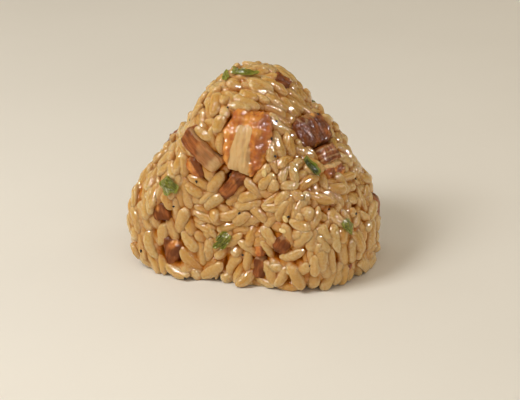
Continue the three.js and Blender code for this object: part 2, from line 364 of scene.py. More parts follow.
def search_tree(names):
    """One search tree over the named pieces, in millimetres."""
    points = []
    corners = []
    count = 0
    for name in names:
        mesh = bpy.data.objects[name].data
        mesh.calc_loop_triangles()
        corner = np.empty(3 * len(mesh.loop_triangles), np.int32)
        mesh.loop_triangles.foreach_get("vertices", corner)
        points.append(mesh_points(mesh))
        corners.append(corner.reshape(-1, 3) + count)
        count += len(mesh.vertices)
    return BVHTree.FromPolygons(
        np.concatenate(points).tolist(), np.concatenate(corners).tolist(), all_triangles=True
    )


# ---- Seats of the pork chunks ----
class Seat:
    """A chunk's place: its middle, its axes across, along and outward, and how it is curved."""

    # The least squareness of the edge round its face, and how far out its rim counts as its side.
    TOP_SQUARENESS = 4.5
    RIM_LEVEL = 0.35
    # From this squareness on it is a slice, which takes only a share of the body's curve.
    SLICE_SQUARENESS = 5
    SLICE_CURVE = 0.35
    # How far its curve goes on past its sides, and how far behind it grains are still moved, both
    # as shares of its half sizes.
    CURVE_REACH = 1.3
    BEHIND = -1.4
    # The furthest that a grain is moved in one step, and the least slope taken for its way out.
    FURTHEST_MOVE = 1.5
    LEAST_SLOPE = 0.02

    def __init__(self, name):
        round_deg, up_deg, spin_deg, size, proud, square, taper, kind = CHUNKS[name]
        self.name = name
        self.half = np.array(size, float) / 2
        self.square = square
        self.top = max(self.TOP_SQUARENESS, square)
        self.taper = taper
        self.kind = kind
        origin, self.axes = spun_frame(round_deg, up_deg, spin_deg, (size[0] + size[1]) / 4)
        self.curve = np.array([self.fall_away(origin, axis) for axis in (0, 1)])
        if square >= self.SLICE_SQUARENESS:
            self.curve *= self.SLICE_CURVE
        self.middle = origin + self.axes[:, 2] * (proud - self.half[2])

    def fall_away(self, origin, axis):
        """How far the body drops from the frame's plane, half a chunk's size to either side."""
        drops = 0
        for side in (-1, 1):
            beside = origin + self.axes[:, axis] * side * self.half[axis]
            drops += np.dot(surface_point(unit(beside - HEART)) - origin, self.axes[:, 2])
        return -drops / 2

    def local(self, points):
        """Points in the chunk's own frame, as shares of its half sizes, its curve straightened."""
        found = (points - self.middle) @ self.axes
        share = found[:, :2] / self.half[:2]
        found[:, 2] += (np.clip(share, -self.CURVE_REACH, self.CURVE_REACH) ** 2) @ self.curve
        return found / self.half

    def placed(self, shares):
        """Where points of the chunk's own frame lie, with its curve put back."""
        bent = shares * self.half
        bent[:, 2] -= (shares[:, :2] ** 2) @ self.curve
        return bent @ self.axes.T + self.middle

    def level(self, shares):
        """1 on the chunk's surface, less inside it."""
        flat = (np.abs(shares[:, :2]) ** self.square).sum(axis=1) ** (1 / self.square)
        return (flat**self.top + np.abs(shares[:, 2]) ** self.top) ** (1 / self.top)

    def column_level(self, points):
        """The chunk's level, and in front of its face the level of its rim."""
        shares = self.local(points)
        shares[:, 2] = np.minimum(shares[:, 2], self.RIM_LEVEL)
        return self.level(shares)

    def clearing(self, points, room):
        """Moves that take points out of the chunk and out of the way in front of it."""
        moves = np.zeros_like(points)
        shares = self.local(points)
        beside = (np.abs(shares[:, :2]) < 1 + room / self.half[:2]).all(axis=1)
        near = beside & (shares[:, 2] > self.BEHIND)
        if not near.any():
            return moves
        spot = points[near]
        level = self.column_level(spot)
        slope = slope_of(self.column_level, spot)
        steep = np.maximum(np.linalg.norm(slope, axis=1), self.LEAST_SLOPE)
        depth = np.clip(room - (level - 1) / steep, 0, self.FURTHEST_MOVE)
        moves[near] = slope / steep[:, None] * depth[:, None]
        return moves


SEATS = [Seat(name) for name in CHUNKS]


# ---- Packing the grains ----

# A cell of a grid and half of its neighbours, so that each pair of cells comes once.
HALF_NEIGHBOURS = [
    (x, y, z) for x in (0, 1) for y in (-1, 0, 1) for z in (-1, 0, 1) if (x, y, z) >= (0, 0, 0)
]


def close_pairs(points, reach):
    """Index pairs of points nearer to each other than the reach, from a grid of cells."""
    cell = np.floor((points - points.min(0)) / reach).astype(np.int64) + 1
    wide = cell.max(0) + 2
    key = (cell[:, 0] * wide[1] + cell[:, 1]) * wide[2] + cell[:, 2]
    order = np.argsort(key, kind="stable")
    ranked = key[order]
    first = []
    second = []
    for offset in HALF_NEIGHBOURS:
        wanted = key + (offset[0] * wide[1] + offset[1]) * wide[2] + offset[2]
        low = np.searchsorted(ranked, wanted, "left")
        many = np.searchsorted(ranked, wanted, "right") - low
        one = np.repeat(np.arange(len(points)), many)
        run = np.arange(many.sum()) - np.repeat(np.cumsum(many) - many, many)
        other = order[np.repeat(low, many) + run]
        keep = one < other if offset == (0, 0, 0) else slice(None)
        first.append(one[keep])
        second.append(other[keep])
    one = np.concatenate(first)
    other = np.concatenate(second)
    near = ((points[one] - points[other]) ** 2).sum(1) < reach * reach
    return one[near], other[near]


def gathered(count, index, values):
    """The sum of the values that fall to each index."""
    return np.stack([np.bincount(index, values[:, axis], count) for axis in range(3)], 1)


# Where the hands left the skin fuller or flatter: degrees round and up, reach and height.
SWELLS = (
    (122, 18, 13, 1.8), (-77, 38, 13, -1.2), (-75, 62, 8, -0.6), (-99, 85, 8, 0.6),
    (113, 50, 12, -0.9), (-67, -8, 10, 1.2),
)
SWELL_PLACES = [surface_point(direction_from(*swell[:2])) for swell in SWELLS]

# How far the foot spreads at the floor, and the height up to which it does.
FOOT_SPREAD = 1.9
FOOT_HEIGHT = 8


def pressed_unevenness(points):
    """Slow swells of the pressed faces, and the spread of the foot that it rests on."""
    height = 0.2 * ripple(points, 26, 5) + 0.2 * ripple(points, 9, 6)
    for place, (_, _, reach, swell) in zip(SWELL_PLACES, SWELLS):
        height += swell * np.exp(-((points - place) ** 2).sum(1) / reach**2)
    return height + FOOT_SPREAD * (1 - blend(0, FOOT_HEIGHT, points[:, 2]))


# Where first places for grains are tried: half the room's length and depth, its height, and how
# many at a time.
ROOM_X = 41
ROOM_Y = 25
ROOM_Z = 64
TRIES = 4000

# A grain is pushed about as three balls in a row, a little thinner than the grain, which start at
# a share of their size and grow.
RANKS = np.array((-1.0, 0.0, 1.0))
BALL_SHARE = 0.92
FIRST_SIZE = 0.55

# Near balls are looked for again every few steps, out to a little more than their size.
PAIR_STEPS = 4
PAIR_ROOM = 0.5

# The share that each step puts right of balls that overlap, stand out of the skin, have sunk below
# the shell or are in a chunk's way, of grains that stand up, and of grains that cross a lay.
BALL_PUSH = 0.38
SKIN_PUSH = 0.7
SUNK_PUSH = 0.5
CHUNK_PUSH = 0.8
SKIN_TURN = 0.045
LAY_TURN = 0.1

# The outward pull acts on balls from this level on down and fades by a share, and a ball stays a
# share of its radius above the floor.
PULL_DEPTH = -0.05
PULL_FADE = 0.7
FLOOR_SHARE = 0.93

# The two powers of the beta spread of how pale grains are, which leans a little to the dark.
PALENESS = (2.2, 2.6)


class Lay:
    """Grains, a row each: middle, way, length, radius and how pale."""

    def ball_places(self, arm):
        """The middles of the three balls in a row that stand for each grain."""
        rows = RANKS[None, :, None] * (arm[:, None] * self.ways)[:, None]
        return (self.middles[:, None] + rows).reshape(-1, 3)

    def follow(self, places):
        """Moves the grains to where their balls have been pushed."""
        places = places.reshape(self.count, 3, 3)
        self.middles = places.mean(1)
        self.ways = unit(places[:, 2] - places[:, 0])


class ShellLay(Lay):
    """Grains in the shell under the body's skin.

    Each grain also has how far it stands proud of the skin and how far it tilts, in millimetres,
    how freely it moves, and whether it settles along the skin.
    """

    # How far from the skin, from the floor and from the chunks the middles start.
    START_DEPTH = 1.2
    START_ROOM = 0.8
    # How far grains lie down along the skin at first.
    LYING = 0.75
    # How lengths and widths differ, as shares, and the share of short broken grains.
    LENGTH_SPREAD = 0.075
    LENGTH_RANGE = (0.8, 1.2)
    WIDTH_SPREAD = 0.08
    WIDTH_RANGE = (0.82, 1.18)
    BROKEN = 0.07
    BROKEN_LENGTH = (0.6, 0.75)
    # How far grains stand proud: the middle and the spread, the range, and that of buried ones.
    PROUD = (-0.33, 0.42)
    PROUD_RANGE = (-1.2, 0.6)
    BURIED_RANGE = (-2.4, -0.8)
    # How much one end of a grain stands out more than the other.
    TILT_SPREAD = 0.55
    TILT_RANGE = (-1.2, 1.2)
    # The share of grains that don't settle along the skin.
    UNSETTLED = 0.06
    # How far a marked grain stands proud, and how freely it moves.
    MARKED_PROUD = 0.2
    MARKED_FREE = 0.12

    def __init__(self, settings, rng):
        self.count = settings.grain_count
        self.middles = self.first_middles(settings.shell_depth / MM, rng)
        outward = body_skin(self.middles)[1]
        ways = unit(rng.normal(size=(self.count, 3)))
        self.ways = unit(ways - self.LYING * (ways * outward).sum(1)[:, None] * outward)
        longer = rng.normal(1, self.LENGTH_SPREAD, self.count).clip(*self.LENGTH_RANGE)
        self.length = settings.grain_length / MM * longer
        broken = rng.random(self.count) < self.BROKEN
        self.length[broken] *= rng.uniform(*self.BROKEN_LENGTH, broken.sum())
        wider = rng.normal(1, self.WIDTH_SPREAD, self.count).clip(*self.WIDTH_RANGE)
        self.radius = settings.grain_width / MM / 2 * wider
        self.pale = rng.beta(*PALENESS, self.count)
        self.proud = rng.normal(*self.PROUD, self.count).clip(*self.PROUD_RANGE)
        buried = rng.random(self.count) < settings.buried_share
        self.proud[buried] = rng.uniform(*self.BURIED_RANGE, buried.sum())
        self.tilt = rng.normal(0, self.TILT_SPREAD, self.count).clip(*self.TILT_RANGE)
        self.free = np.ones(self.count)
        self.settling = (rng.random(self.count) > self.UNSETTLED).astype(float)
        for index, grain in enumerate(MARKED_GRAINS):
            self.mark(index, *grain)

    def first_middles(self, shell, rng):
        """Places in the shell for the middles, drawn until there are enough."""
        middles = np.empty((0, 3))
        while len(middles) < self.count:
            tries = rng.uniform((-ROOM_X, -ROOM_Y, 0), (ROOM_X, ROOM_Y, ROOM_Z), (TRIES, 3))
            depth, _ = body_skin(tries)
            good = (depth < -self.START_DEPTH) & (depth > -shell) & (tries[:, 2] > self.START_DEPTH)
            for seat in SEATS:
                good &= ~seat.clearing(tries, self.START_ROOM).any(axis=1)
            middles = np.concatenate((middles, tries[good]))
        return middles[:self.count]

    def mark(self, index, round_deg, up_deg, spin_deg, length, width, pale):
        """Lays one grain at a place of its own, on the skin and nearly fixed."""
        origin, axes = spun_frame(round_deg, up_deg, spin_deg, 3)
        self.middles[index] = origin - axes[:, 2] * (width / 2 - self.MARKED_PROUD)
        self.ways[index] = axes[:, 0]
        self.length[index] = length
        self.radius[index] = width / 2
        self.pale[index] = pale
        self.proud[index] = self.MARKED_PROUD
        self.tilt[index] = 0
        self.free[index] = self.MARKED_FREE


class BaseLay(Lay):
    """Grains lying side by side on the flat base."""

    # The height of their middles, and how far inside the skin they stay.
    MIDDLE = 1.3
    FROM_SKIN = -3.6
    # Their length and width: the middle and the spread, as shares.
    LENGTH = (0.97, 0.08)
    WIDTH = (1, 0.06)

    def __init__(self, settings, rng):
        self.count = settings.base_count
        tries = rng.uniform((-ROOM_X, -ROOM_Y, self.MIDDLE), (ROOM_X, ROOM_Y, self.MIDDLE), (TRIES, 3))
        self.middles = tries[body_skin(tries)[0] < self.FROM_SKIN][:self.count]
        turn = rng.uniform(0, np.pi, self.count)
        self.ways = np.stack((np.cos(turn), np.sin(turn), 0 * turn), 1)
        self.length = settings.grain_length / MM * rng.normal(*self.LENGTH, self.count)
        self.radius = settings.grain_width / MM / 2 * rng.normal(*self.WIDTH, self.count)
        self.pale = rng.beta(*PALENESS, self.count)
        self.outward = np.tile((0.0, 0.0, -1.0), (self.count, 1))


def close_balls(places, owner, reach):
    """Index pairs of balls of different grains that are near to each other."""
    one, other = close_pairs(places, reach)
    apart = owner[one] != owner[other]
    return one[apart], other[apart]


def pushed_apart(places, pairs, balls, grown, squash):
    """The moves that take overlapping balls apart, down to the squash."""
    one, other = pairs
    gap = places[one] - places[other]
    far = np.maximum(np.linalg.norm(gap, axis=1), 1e-6)
    overlap = np.maximum((balls[one] + balls[other]) * grown - squash - far, 0)
    push = gap / far[:, None] * (BALL_PUSH * overlap)[:, None]
    return gathered(len(places), one, push) - gathered(len(places), other, push)


def pack_base(settings, rng):
    """Spreads grains over the flat base."""
    lay = BaseLay(settings, rng)
    ball = lay.radius * BALL_SHARE
    owner = np.repeat(np.arange(lay.count), 3)
    balls = np.repeat(ball, 3)
    for _ in range(settings.pack_steps):
        places = lay.ball_places(lay.length / 2 - ball)
        pairs = close_balls(places, owner, 2 * balls.max())
        moves = pushed_apart(places, pairs, balls, 1.0, 0.0)
        depth, outward = body_skin(places)
        moves -= outward * np.maximum(depth - lay.FROM_SKIN, 0)[:, None] * SKIN_PUSH
        moves[:, 2] = 0
        lay.follow(places + moves)
    return lay


def pack_shell(settings, rng):
    """Presses grains into a shell under the body's skin."""
    lay = ShellLay(settings, rng)
    count = lay.count
    shell = settings.shell_depth / MM
    ball = lay.radius * BALL_SHARE
    arm = lay.length / 2 - ball
    owner = np.repeat(np.arange(count), 3)
    balls = np.repeat(ball, 3)
    allowed = (lay.proud[:, None] + RANKS * lay.tilt[:, None]).ravel()
    free = np.repeat(lay.free, 3)[:, None]
    zones = []
    for round_deg, up_deg, spin_deg, reach in LAYS:
        origin, axes = spun_frame(round_deg, up_deg, spin_deg, 4)
        zones.append((origin, axes[:, 0], reach))
    for step in range(settings.pack_steps):
        grown = min(1.0, FIRST_SIZE + step / settings.pack_steps)
        places = lay.ball_places(arm)
        if step % PAIR_STEPS == 0:
            pairs = close_balls(places, owner, 2 * balls.max() + PAIR_ROOM)
        moves = pushed_apart(places, pairs, balls, grown, settings.grain_squash / MM)
        depth, outward = body_skin(places)
        skin = depth + balls * grown - pressed_unevenness(places) - allowed
        moves -= outward * np.maximum(skin, 0)[:, None] * SKIN_PUSH
        sunk = np.maximum(-shell - depth, 0)
        lift = settings.outward_pull / MM * (1 - PULL_FADE * step / settings.pack_steps)
        moves += outward * (lift * (skin < PULL_DEPTH) + SUNK_PUSH * sunk)[:, None]
        moves[:, 2] += np.maximum(balls * grown * FLOOR_SHARE - places[:, 2], 0)
        for seat in SEATS:
            moves += CHUNK_PUSH * seat.clearing(places, settings.chunk_room / MM * grown)
        lay.follow(places + free * moves)
        outward = outward.reshape(count, 3, 3)[:, 1]
        steep = (lay.ways * outward).sum(1)
        lay.ways = unit(lay.ways - SKIN_TURN * (lay.settling * steep)[:, None] * outward)
        for origin, way, reach in zones:
            share = np.exp(-((lay.middles - origin) ** 2).sum(1) / reach**2) * lay.free
            side = np.sign(lay.ways @ way)
            lay.ways = unit(lay.ways + (LAY_TURN * share * side)[:, None] * way)
    lay.outward = body_skin(lay.middles)[1]
    return lay


# ---- Shapes of the grains ----

# Kinds of grain: share of all, length, width, bluntness of the ends, and bend.
GRAIN_KINDS = {
    "rice_plump": (0.4, 0.98, 1.1, 3.4, 0.05),
    "rice_slender": (0.33, 1.06, 0.97, 2.6, 0.09),
    "rice_bent": (0.27, 1.04, 1.02, 3.0, 0.19),
}
BASE_PIECE = "rice_base"
GRAIN_RINGS = 11
GRAIN_AROUND = 14

# How grains differ: the roundness of their ends and its spread, how much thicker one end is, how
# flat they are, their ridges (how many round and how high), how far the ends slant, the spread of
# their bend, their lumps, and how far they roll from lying flat.
END_POWER = 2.05
BLUNT_SPREAD = 0.08
END_SPREAD = 0.09
FLATNESS = (0.76, 0.92)
RIDGES = ((2, 0.05), (3, 0.08), (5, 0.05))
SLANT = 0.24
BEND_SPREAD = 0.35
LUMPS = 0.065
ROLL_SPREAD = 0.25

# Where along its half length, squared, a bent grain crosses its own straight line.
BEND_CROSSING = 0.35


def grain_shapes(lay, chosen, kind, rng):
    """Points of the chosen grains, lying along x with a flat side up, and their core marks.

    The points come as (grains, points, 3), and the marks once for all grains: near 1 over a
    grain's thick middle, and 0 at its rim and its underside.
    """
    _, long, wide, blunt, bend = kind
    count = len(chosen)
    turn = np.pi * np.arange(1, GRAIN_RINGS + 1) / (GRAIN_RINGS + 1)
    station = -np.cos(turn)
    angle = 2 * np.pi * np.arange(GRAIN_AROUND) / GRAIN_AROUND
    blunt = blunt * rng.normal(1, BLUNT_SPREAD, (count, 1))
    thick = (1 - np.abs(station)[None] ** blunt) ** (1 / END_POWER)
    thick *= 1 + rng.normal(0, END_SPREAD, (count, 1)) * station
    half_width = (lay.radius[chosen] * wide)[:, None] * thick
    half_depth = half_width * rng.uniform(*FLATNESS, (count, 1))
    ridges = np.zeros((count, 1, GRAIN_AROUND))
    for many, height in RIDGES:
        turned = rng.uniform(0, 2 * np.pi, (count, 1, 1))
        ridges += height * rng.uniform(0.3, 1.2, (count, 1, 1)) * np.cos(many * angle + turned)
    half_length = lay.length[chosen] * long / 2
    y = half_width[:, :, None] * np.cos(angle) * (1 + ridges)
    z = half_depth[:, :, None] * np.sin(angle) * (1 + ridges)
    slant = rng.normal(0, SLANT, (2, count, 1, 1)) * np.abs(station[:, None]) ** 3
    x = (half_length[:, None] * station)[:, :, None] + slant[0] * y + slant[1] * z
    sweep = bend * rng.normal(1, BEND_SPREAD, count) * rng.choice((-1, 1), count) * half_length
    y += (sweep[:, None] * (BEND_CROSSING - station[None] ** 2))[:, :, None]
    start = rng.uniform(0, 2 * np.pi, (3, count, 1, 1))
    lump = np.sin(1.3 * x + start[0]) * np.sin(1.9 * y + start[1]) + 0.6 * np.sin(2.4 * x + start[2])
    y *= 1 + LUMPS * lump
    z *= 1 + LUMPS * lump
    body = np.stack((x, y, z), -1).reshape(count, -1, 3)
    tip = np.zeros((count, 1, 3))
    tip[:, 0, 0] = half_length
    tip[:, 0, 1] = (BEND_CROSSING - 1) * sweep
    thickness = np.sqrt(1 - station**2)[:, None] * np.maximum(np.sin(angle), 0)
    core = np.concatenate(([0], thickness.ravel(), [0]))
    return np.concatenate((tip * (-1, 1, 1), body, tip), 1), core


def laid_grains(lay, chosen, shapes, rng):
    """Grains turned into the model's frame, the flat side of each mostly along the skin."""
    ways = lay.ways[chosen]
    side = np.cross(lay.outward[chosen], ways) + rng.normal(0, ROLL_SPREAD, ways.shape)
    side = unit(side - (side * ways).sum(1)[:, None] * ways)
    axes = np.stack((ways, side, np.cross(ways, side)), 1)
    return np.einsum("npk,nkc->npc", shapes, axes) + lay.middles[chosen][:, None]


# ---- The starch that holds the grains together ----
class MeanSurface:
    """The outermost surface of the named pieces, smoothed, as a reach from the heart each way."""

    # The rough shape over which the ways are spread evenly.
    STRETCH = np.array((40, 30, 34))
    # How far above the skin the search for the surface starts, and how far below it ends.
    ABOVE = 6.0
    DEEPEST = 4.5
    # How many more times the wider mean surface is smoothed, from which depths are taken.
    WIDER = 36

    def __init__(self, names, cells, smoothing):
        self.cells = cells
        lattice, self.faces = cube_lattice(cells)
        self.ways = unit(np.tan(lattice * np.pi / 4) * self.STRETCH)
        to_floor = HEART[2] / np.maximum(-self.ways[:, 2], 0.01)
        self.skin = np.minimum(skin_reach(self.ways), to_floor)
        self.level = smoothed(self.outer_reach(search_tree(names)), self.faces, smoothing)
        self.wide_level = smoothed(self.level, self.faces, self.WIDER)
        self.numbers = np.zeros((cells + 1,) * 3, int)
        self.numbers[self.steps(lattice)] = np.arange(len(lattice))

    def steps(self, lattice):
        """The whole steps along each edge of the cube that are nearest to its points."""
        return tuple(np.rint((lattice + 1) * self.cells / 2).astype(int).T)

    def outer_reach(self, tree):
        """How far the outermost surface lies along each way, and never far below the skin."""
        reach = self.skin - self.DEEPEST
        starts = (HEART + self.ways * (self.skin + self.ABOVE)[:, None]).tolist()
        for index, (start, way) in enumerate(zip(starts, (-self.ways).tolist())):
            far = tree.ray_cast(start, way, self.ABOVE + self.DEEPEST)[3]
            if far is not None:
                reach[index] = self.skin[index] + self.ABOVE - far
        return reach

    def depth(self, points):
        """How far points lie below the wider mean surface."""
        ways = (points - HEART) / self.STRETCH
        lattice = np.arctan(ways / np.abs(ways).max(axis=1, keepdims=True)) * 4 / np.pi
        level = self.wide_level[self.numbers[self.steps(lattice)]]
        return level - np.linalg.norm(points - HEART, axis=1)


# The least and most that the starch lies under the mean surface, how deep its groove round a chunk
# is, and between which levels of the chunk the groove fades out.
SUNK_RANGE = (0.08, 2.4)
CHUNK_GROOVE = 1.6
GROOVE_ENDS = (1.3, 1.05)

# The range of depths that the rice's colour tells apart: deeper points turn amber, partly the seasoning
# and partly painted shade, and then near black with painted shade.
DEPTH_RANGE = (-1.5, 4)


def starch_surface(surface, film_depth):
    """Points of the sticky core: the mean surface, sunk so that the grains stand out of it."""
    points = HEART + surface.ways * surface.level[:, None]
    sunk = film_depth * (1 + 0.4 * ripple(points, 8, 21) + 0.4 * ripple(points, 3, 22))
    sunk = np.clip(sunk, *SUNK_RANGE)
    for seat in SEATS:
        beside = blend(*GROOVE_ENDS, seat.column_level(points))
        sunk = np.maximum(sunk, CHUNK_GROOVE * beside)
    points -= surface.ways * sunk[:, None]
    return lifted(points, OTHER_FLOOR)


def marked_depth(surface, points):
    """How many millimetres points lie below the mean surface, within the range that shows."""
    return np.clip(surface.depth(points), *DEPTH_RANGE)


# ---- Braised pork ----

# Each kind of meat: height of its lumps, of its small bumps and of its fibres in millimetres,
# how dark it is and how much of it is glazed.
MEATS = {
    "belly": (0.4, 0.18, 0.04, 0.1, 1.0),
    "slab": (0.1, 0.04, 0.02, 0.35, 0.0),
    "lean": (0.2, 0.07, 0.07, 0.25, 0.25),
    "reddish": (0.2, 0.08, 0.08, 0.5, 0.0),
    "braised": (0.2, 0.08, 0.08, 0.75, 0.0),
    "seared": (0.25, 0.12, 0.06, 0.5, 0.3),
    "dark": (0.15, 0.1, 0.13, 0.6, 0.1),
    "glazed": (0.3, 0.14, 0.05, 0.2, 0.8),
    "striped": (0.12, 0.05, 0.1, 0.3, 0.1),
    "flaky": (0.3, 0.2, 0.08, 0.2, 0.5),
}

# A chunk's cells are about this wide in millimetres, and it has at least and at most so many of
# them to an edge.
PORK_CELL = 0.42
PORK_CELLS = (18, 42)

# How large the lumps, small bumps and fibres of meat are in millimetres, how much longer fibres
# are along a chunk, and how large the patches of glaze and of dark meat are.
LUMP_SIZE = 5
BUMP_SIZE = 1.7
FIBRE_SIZE = 1.1
FIBRE_STRETCH = (1, 0.12, 1)
GLAZE_SIZE = 4
DARK_SIZE = 3.5

# How much smoother fat is, and how deep the groove beside it.
FAT_SMOOTHNESS = 0.75
FAT_GROOVE = 0.3


def fat_share(kind, shares, local, seed):
    """How far each point is fat and not lean, for each kind of meat."""
    across, up, out = shares.T
    waver = 0.12 * ripple(local, 6, seed + 40) + 0.05 * ripple(local, 2, seed + 41)
    if kind == "belly":
        middle = -0.16 + 0.12 * up
        width = 0.38 - 0.1 * up
        band = 1 - blend(width - 0.04, width + 0.04, np.abs(across - middle + 0.3 * waver))
        stain = 0.35 * blend(0.3, 1.1, ripple(local * (1, 0.25, 1), 3, seed + 42)) * (across > middle)
        return band * (1 - blend(0.5, 0.62, up - 0.1 * across + 0.4 * waver)) * (out > 0) * (1 - stain)
    if kind == "slab":
        pale_end = 0.3 * blend(-0.5, -0.95, up + waver) + 0.35 * blend(0.5, -0.1, up + waver)
        strip = 0.45 * blend(0.82, 0.95, across + 0.4 * waver) * (out > 0.5)
        return np.maximum(pale_end, strip)
    if kind == "striped":
        return 0.45 * blend(-0.3, 0.6, np.sin(11 * up + 3 * waver))
    if kind == "braised":
        return 0 * up
    if kind == "flaky":
        return blend(0.0, 0.4, up + waver) * blend(0.2, 0.5, out)
    return 0.4 * blend(0.7, 1.0, up + 2 * waver)


def pork_shape(seat, seed):
    """Points, faces and marks of one chunk: fat, glaze, darkness and its own coordinates.

    Its lower end is cut on a slant where it is belly, and a groove runs along each edge of the
    fat. On glazed and seared chunks one side is darker and less glazed, painted shade like that
    under a neighbouring chunk. Dark chunks are darker and less glazed on their left side.
    """
    lumps, bumps, fibres, darkness, glazing = MEATS[seat.kind]
    cells = int(np.clip(2 * seat.half.max() / PORK_CELL, *PORK_CELLS))
    lattice, faces = cube_lattice(cells)
    shares = lattice / seat.level(lattice)[:, None]
    outward = unit(np.sign(shares) * np.abs(shares) ** 3 / seat.half)
    shares[:, 0] *= 1 + seat.taper * shares[:, 1]
    if seat.kind == "belly":
        cut = -0.86 - 0.16 * shares[:, 0]
        shares[:, 1] = np.maximum(shares[:, 1], cut)
    local = shares * seat.half
    fat = fat_share(seat.kind, shares, local, seed)
    rough = 1 - FAT_SMOOTHNESS * fat
    streaks = ripple(local * FIBRE_STRETCH, FIBRE_SIZE, seed + 3)
    relief = lumps * ripple(local, LUMP_SIZE, seed + 1) * rough
    relief += bumps * ripple(local, BUMP_SIZE, seed + 2) * rough
    relief += fibres * streaks * (1 + fat)
    relief -= FAT_GROOVE * np.exp(-(((fat - 0.5) / 0.22) ** 2)) * (seat.kind == "belly")
    points = lifted(seat.placed(shares) + relief[:, None] * (outward @ seat.axes.T), OTHER_FLOOR)
    brim = (0.1 + 0.4 * glazing) * blend(0.7, 1.0, np.abs(shares[:, :2]).max(axis=1))
    # Painted shade: glazed and seared chunks turn darker and less glazed towards one side; dark chunks
    # are darker and less glazed on the left.
    turned = blend(-0.2, 0.5, shares[:, 0]) * (seat.kind in ("glazed", "seared"))
    turned += blend(-0.3, -0.8, shares[:, 0]) * (seat.kind == "dark")
    glaze = glazing * (1 - fat) + brim + 0.28 * ripple(local, GLAZE_SIZE, seed + 5) - turned
    dark = darkness + 0.3 * ripple(local, DARK_SIZE, seed + 6) + 0.15 * streaks + 0.4 * turned
    marks = {"fat": fat, "glaze": np.clip(glaze, 0, 1), "dark": np.clip(dark, 0, 1), "meatwise": local}
    return points, faces, marks


# ---- Green onion, sesame, pepper and crumbs ----

# Pieces of green onion: degrees round and up, spin, length, width, curl, ruffle and how dark.
LEAVES = (
    (-37, 6.8, -35, 6.8, 5.6, 0.4, 0.7, 0.35),
    (-2.4, -28.5, 52, 8.0, 4.4, 0.5, 1.0, 0.3),
    (61.3, 20.2, -70, 7.0, 3.0, 1.8, 0.3, 0.8),
    (70.3, -10.6, -50, 6.0, 4.6, 0.5, 0.2, 0.0),
    (10, 84, 5, 9.2, 4.4, 0.3, 0.4, 0.35),
    (-46, 78, 10, 4.4, 3.2, 0.4, 0.3, 0.0),
    (150, 38, 20, 6.2, 4.4, 0.6, 0.6, 0.4),
    (200, -8, -40, 6.6, 4.8, 0.9, 0.6, 0.6),
    (228, 22, 65, 5.2, 3.8, 0.5, 0.8, 0.35),
    (-110, -12, -20, 6.0, 4.2, 0.8, 0.5, 0.5),
)

# Sesame seeds, flecks of pepper and crumbs of meat: degrees round and up.
SESAME = ((2.4, 17.1), (30.7, 22.5), (40.1, -5.5), (38.9, -12.4), (175, 20), (208, 3), (-120, -22))
PEPPER = (
    (-46, 48), (1.4, 58), (47, 50.5), (38.4, 41.3), (39, 31), (-19.5, 13.3), (12.3, -6.5),
    (41.5, -4), (65, -1.8), (78, -7.8), (13, -34.5), (49.4, -25.4), (-28.6, -43.5), (97, 3),
)
CRUMBS = ((37.4, -42.1), (70.3, -28.2), (-64, -32), (185, 48), (222, -30), (125, 8))

# Cells to an edge of the cube that a scrap of leaf and a small bead are made from.
LEAF_CELLS = 28
BEAD_CELLS = 8

# A scrap of leaf: half its thickness, how high it lies over the grains, how far it dips below and
# rises above the grains' middling height, and how many times its bed is smoothed.
LEAF_HALF = 0.13
LEAF_LIFT = 0.3
LEAF_DIP = 0.7
LEAF_RISE = 1.2
LEAF_SMOOTHING = 8

# The outline of a scrap: how many cut sides and notches it has, and half a notch's width, as the
# sine of half its angle.
SCRAP_SIDES = 6
SCRAP_NOTCHES = 3
NOTCH_WIDTH = 0.12


class Perch:
    """A place on the outermost surface: its point and axes, and the surface under a patch of it."""

    # How far above the plane of the axes the search starts, how far it reaches, and the distance
    # that counts where it finds nothing.
    ABOVE = 5
    REACH = 12
    NOTHING = 8

    def __init__(self, tree, round_deg, up_deg, spin_deg, reach):
        self.tree = tree
        origin, self.axes = spun_frame(round_deg, up_deg, spin_deg, max(reach, 2))
        self.above = origin + self.axes[:, 2] * self.ABOVE
        ring = np.array([(0, 0), (1, 0), (-1, 0), (0, 1), (0, -1)]) * reach
        self.height = float(np.median(self.heights(ring)))

    def heights(self, flat):
        """How far the surface lies above the plane of the axes, under flat places on it."""
        starts = self.above + flat @ self.axes[:, :2].T
        found = []
        for start in starts.tolist():
            far = self.tree.ray_cast(start, (-self.axes[:, 2]).tolist(), self.REACH)[3]
            found.append(self.ABOVE - (self.NOTHING if far is None else far))
        return np.array(found)

    def placed(self, local):
        """Where points of the perch's own frame lie, none of them below the floor."""
        return lifted(self.above + (local - (0, 0, self.ABOVE)) @ self.axes.T, OTHER_FLOOR)


def scrap_outline(turn, ragged, seed):
    """How far a torn scrap reaches each way round: straight cut sides with a few notches."""
    rng = np.random.default_rng(seed)
    sides = np.arange(SCRAP_SIDES) * 2 * np.pi / SCRAP_SIDES + rng.uniform(-0.35, 0.35, SCRAP_SIDES)
    facing = np.maximum(np.cos(turn[:, None] - sides), 0.3)
    outline = (rng.uniform(0.8, 1.0, SCRAP_SIDES) / facing).min(axis=1)
    for notch in rng.uniform(0, 2 * np.pi, SCRAP_NOTCHES):
        share = np.exp(-((np.sin((turn - notch) / 2) / NOTCH_WIDTH) ** 2))
        outline -= ragged * rng.uniform(0.1, 0.4) * share
    return outline


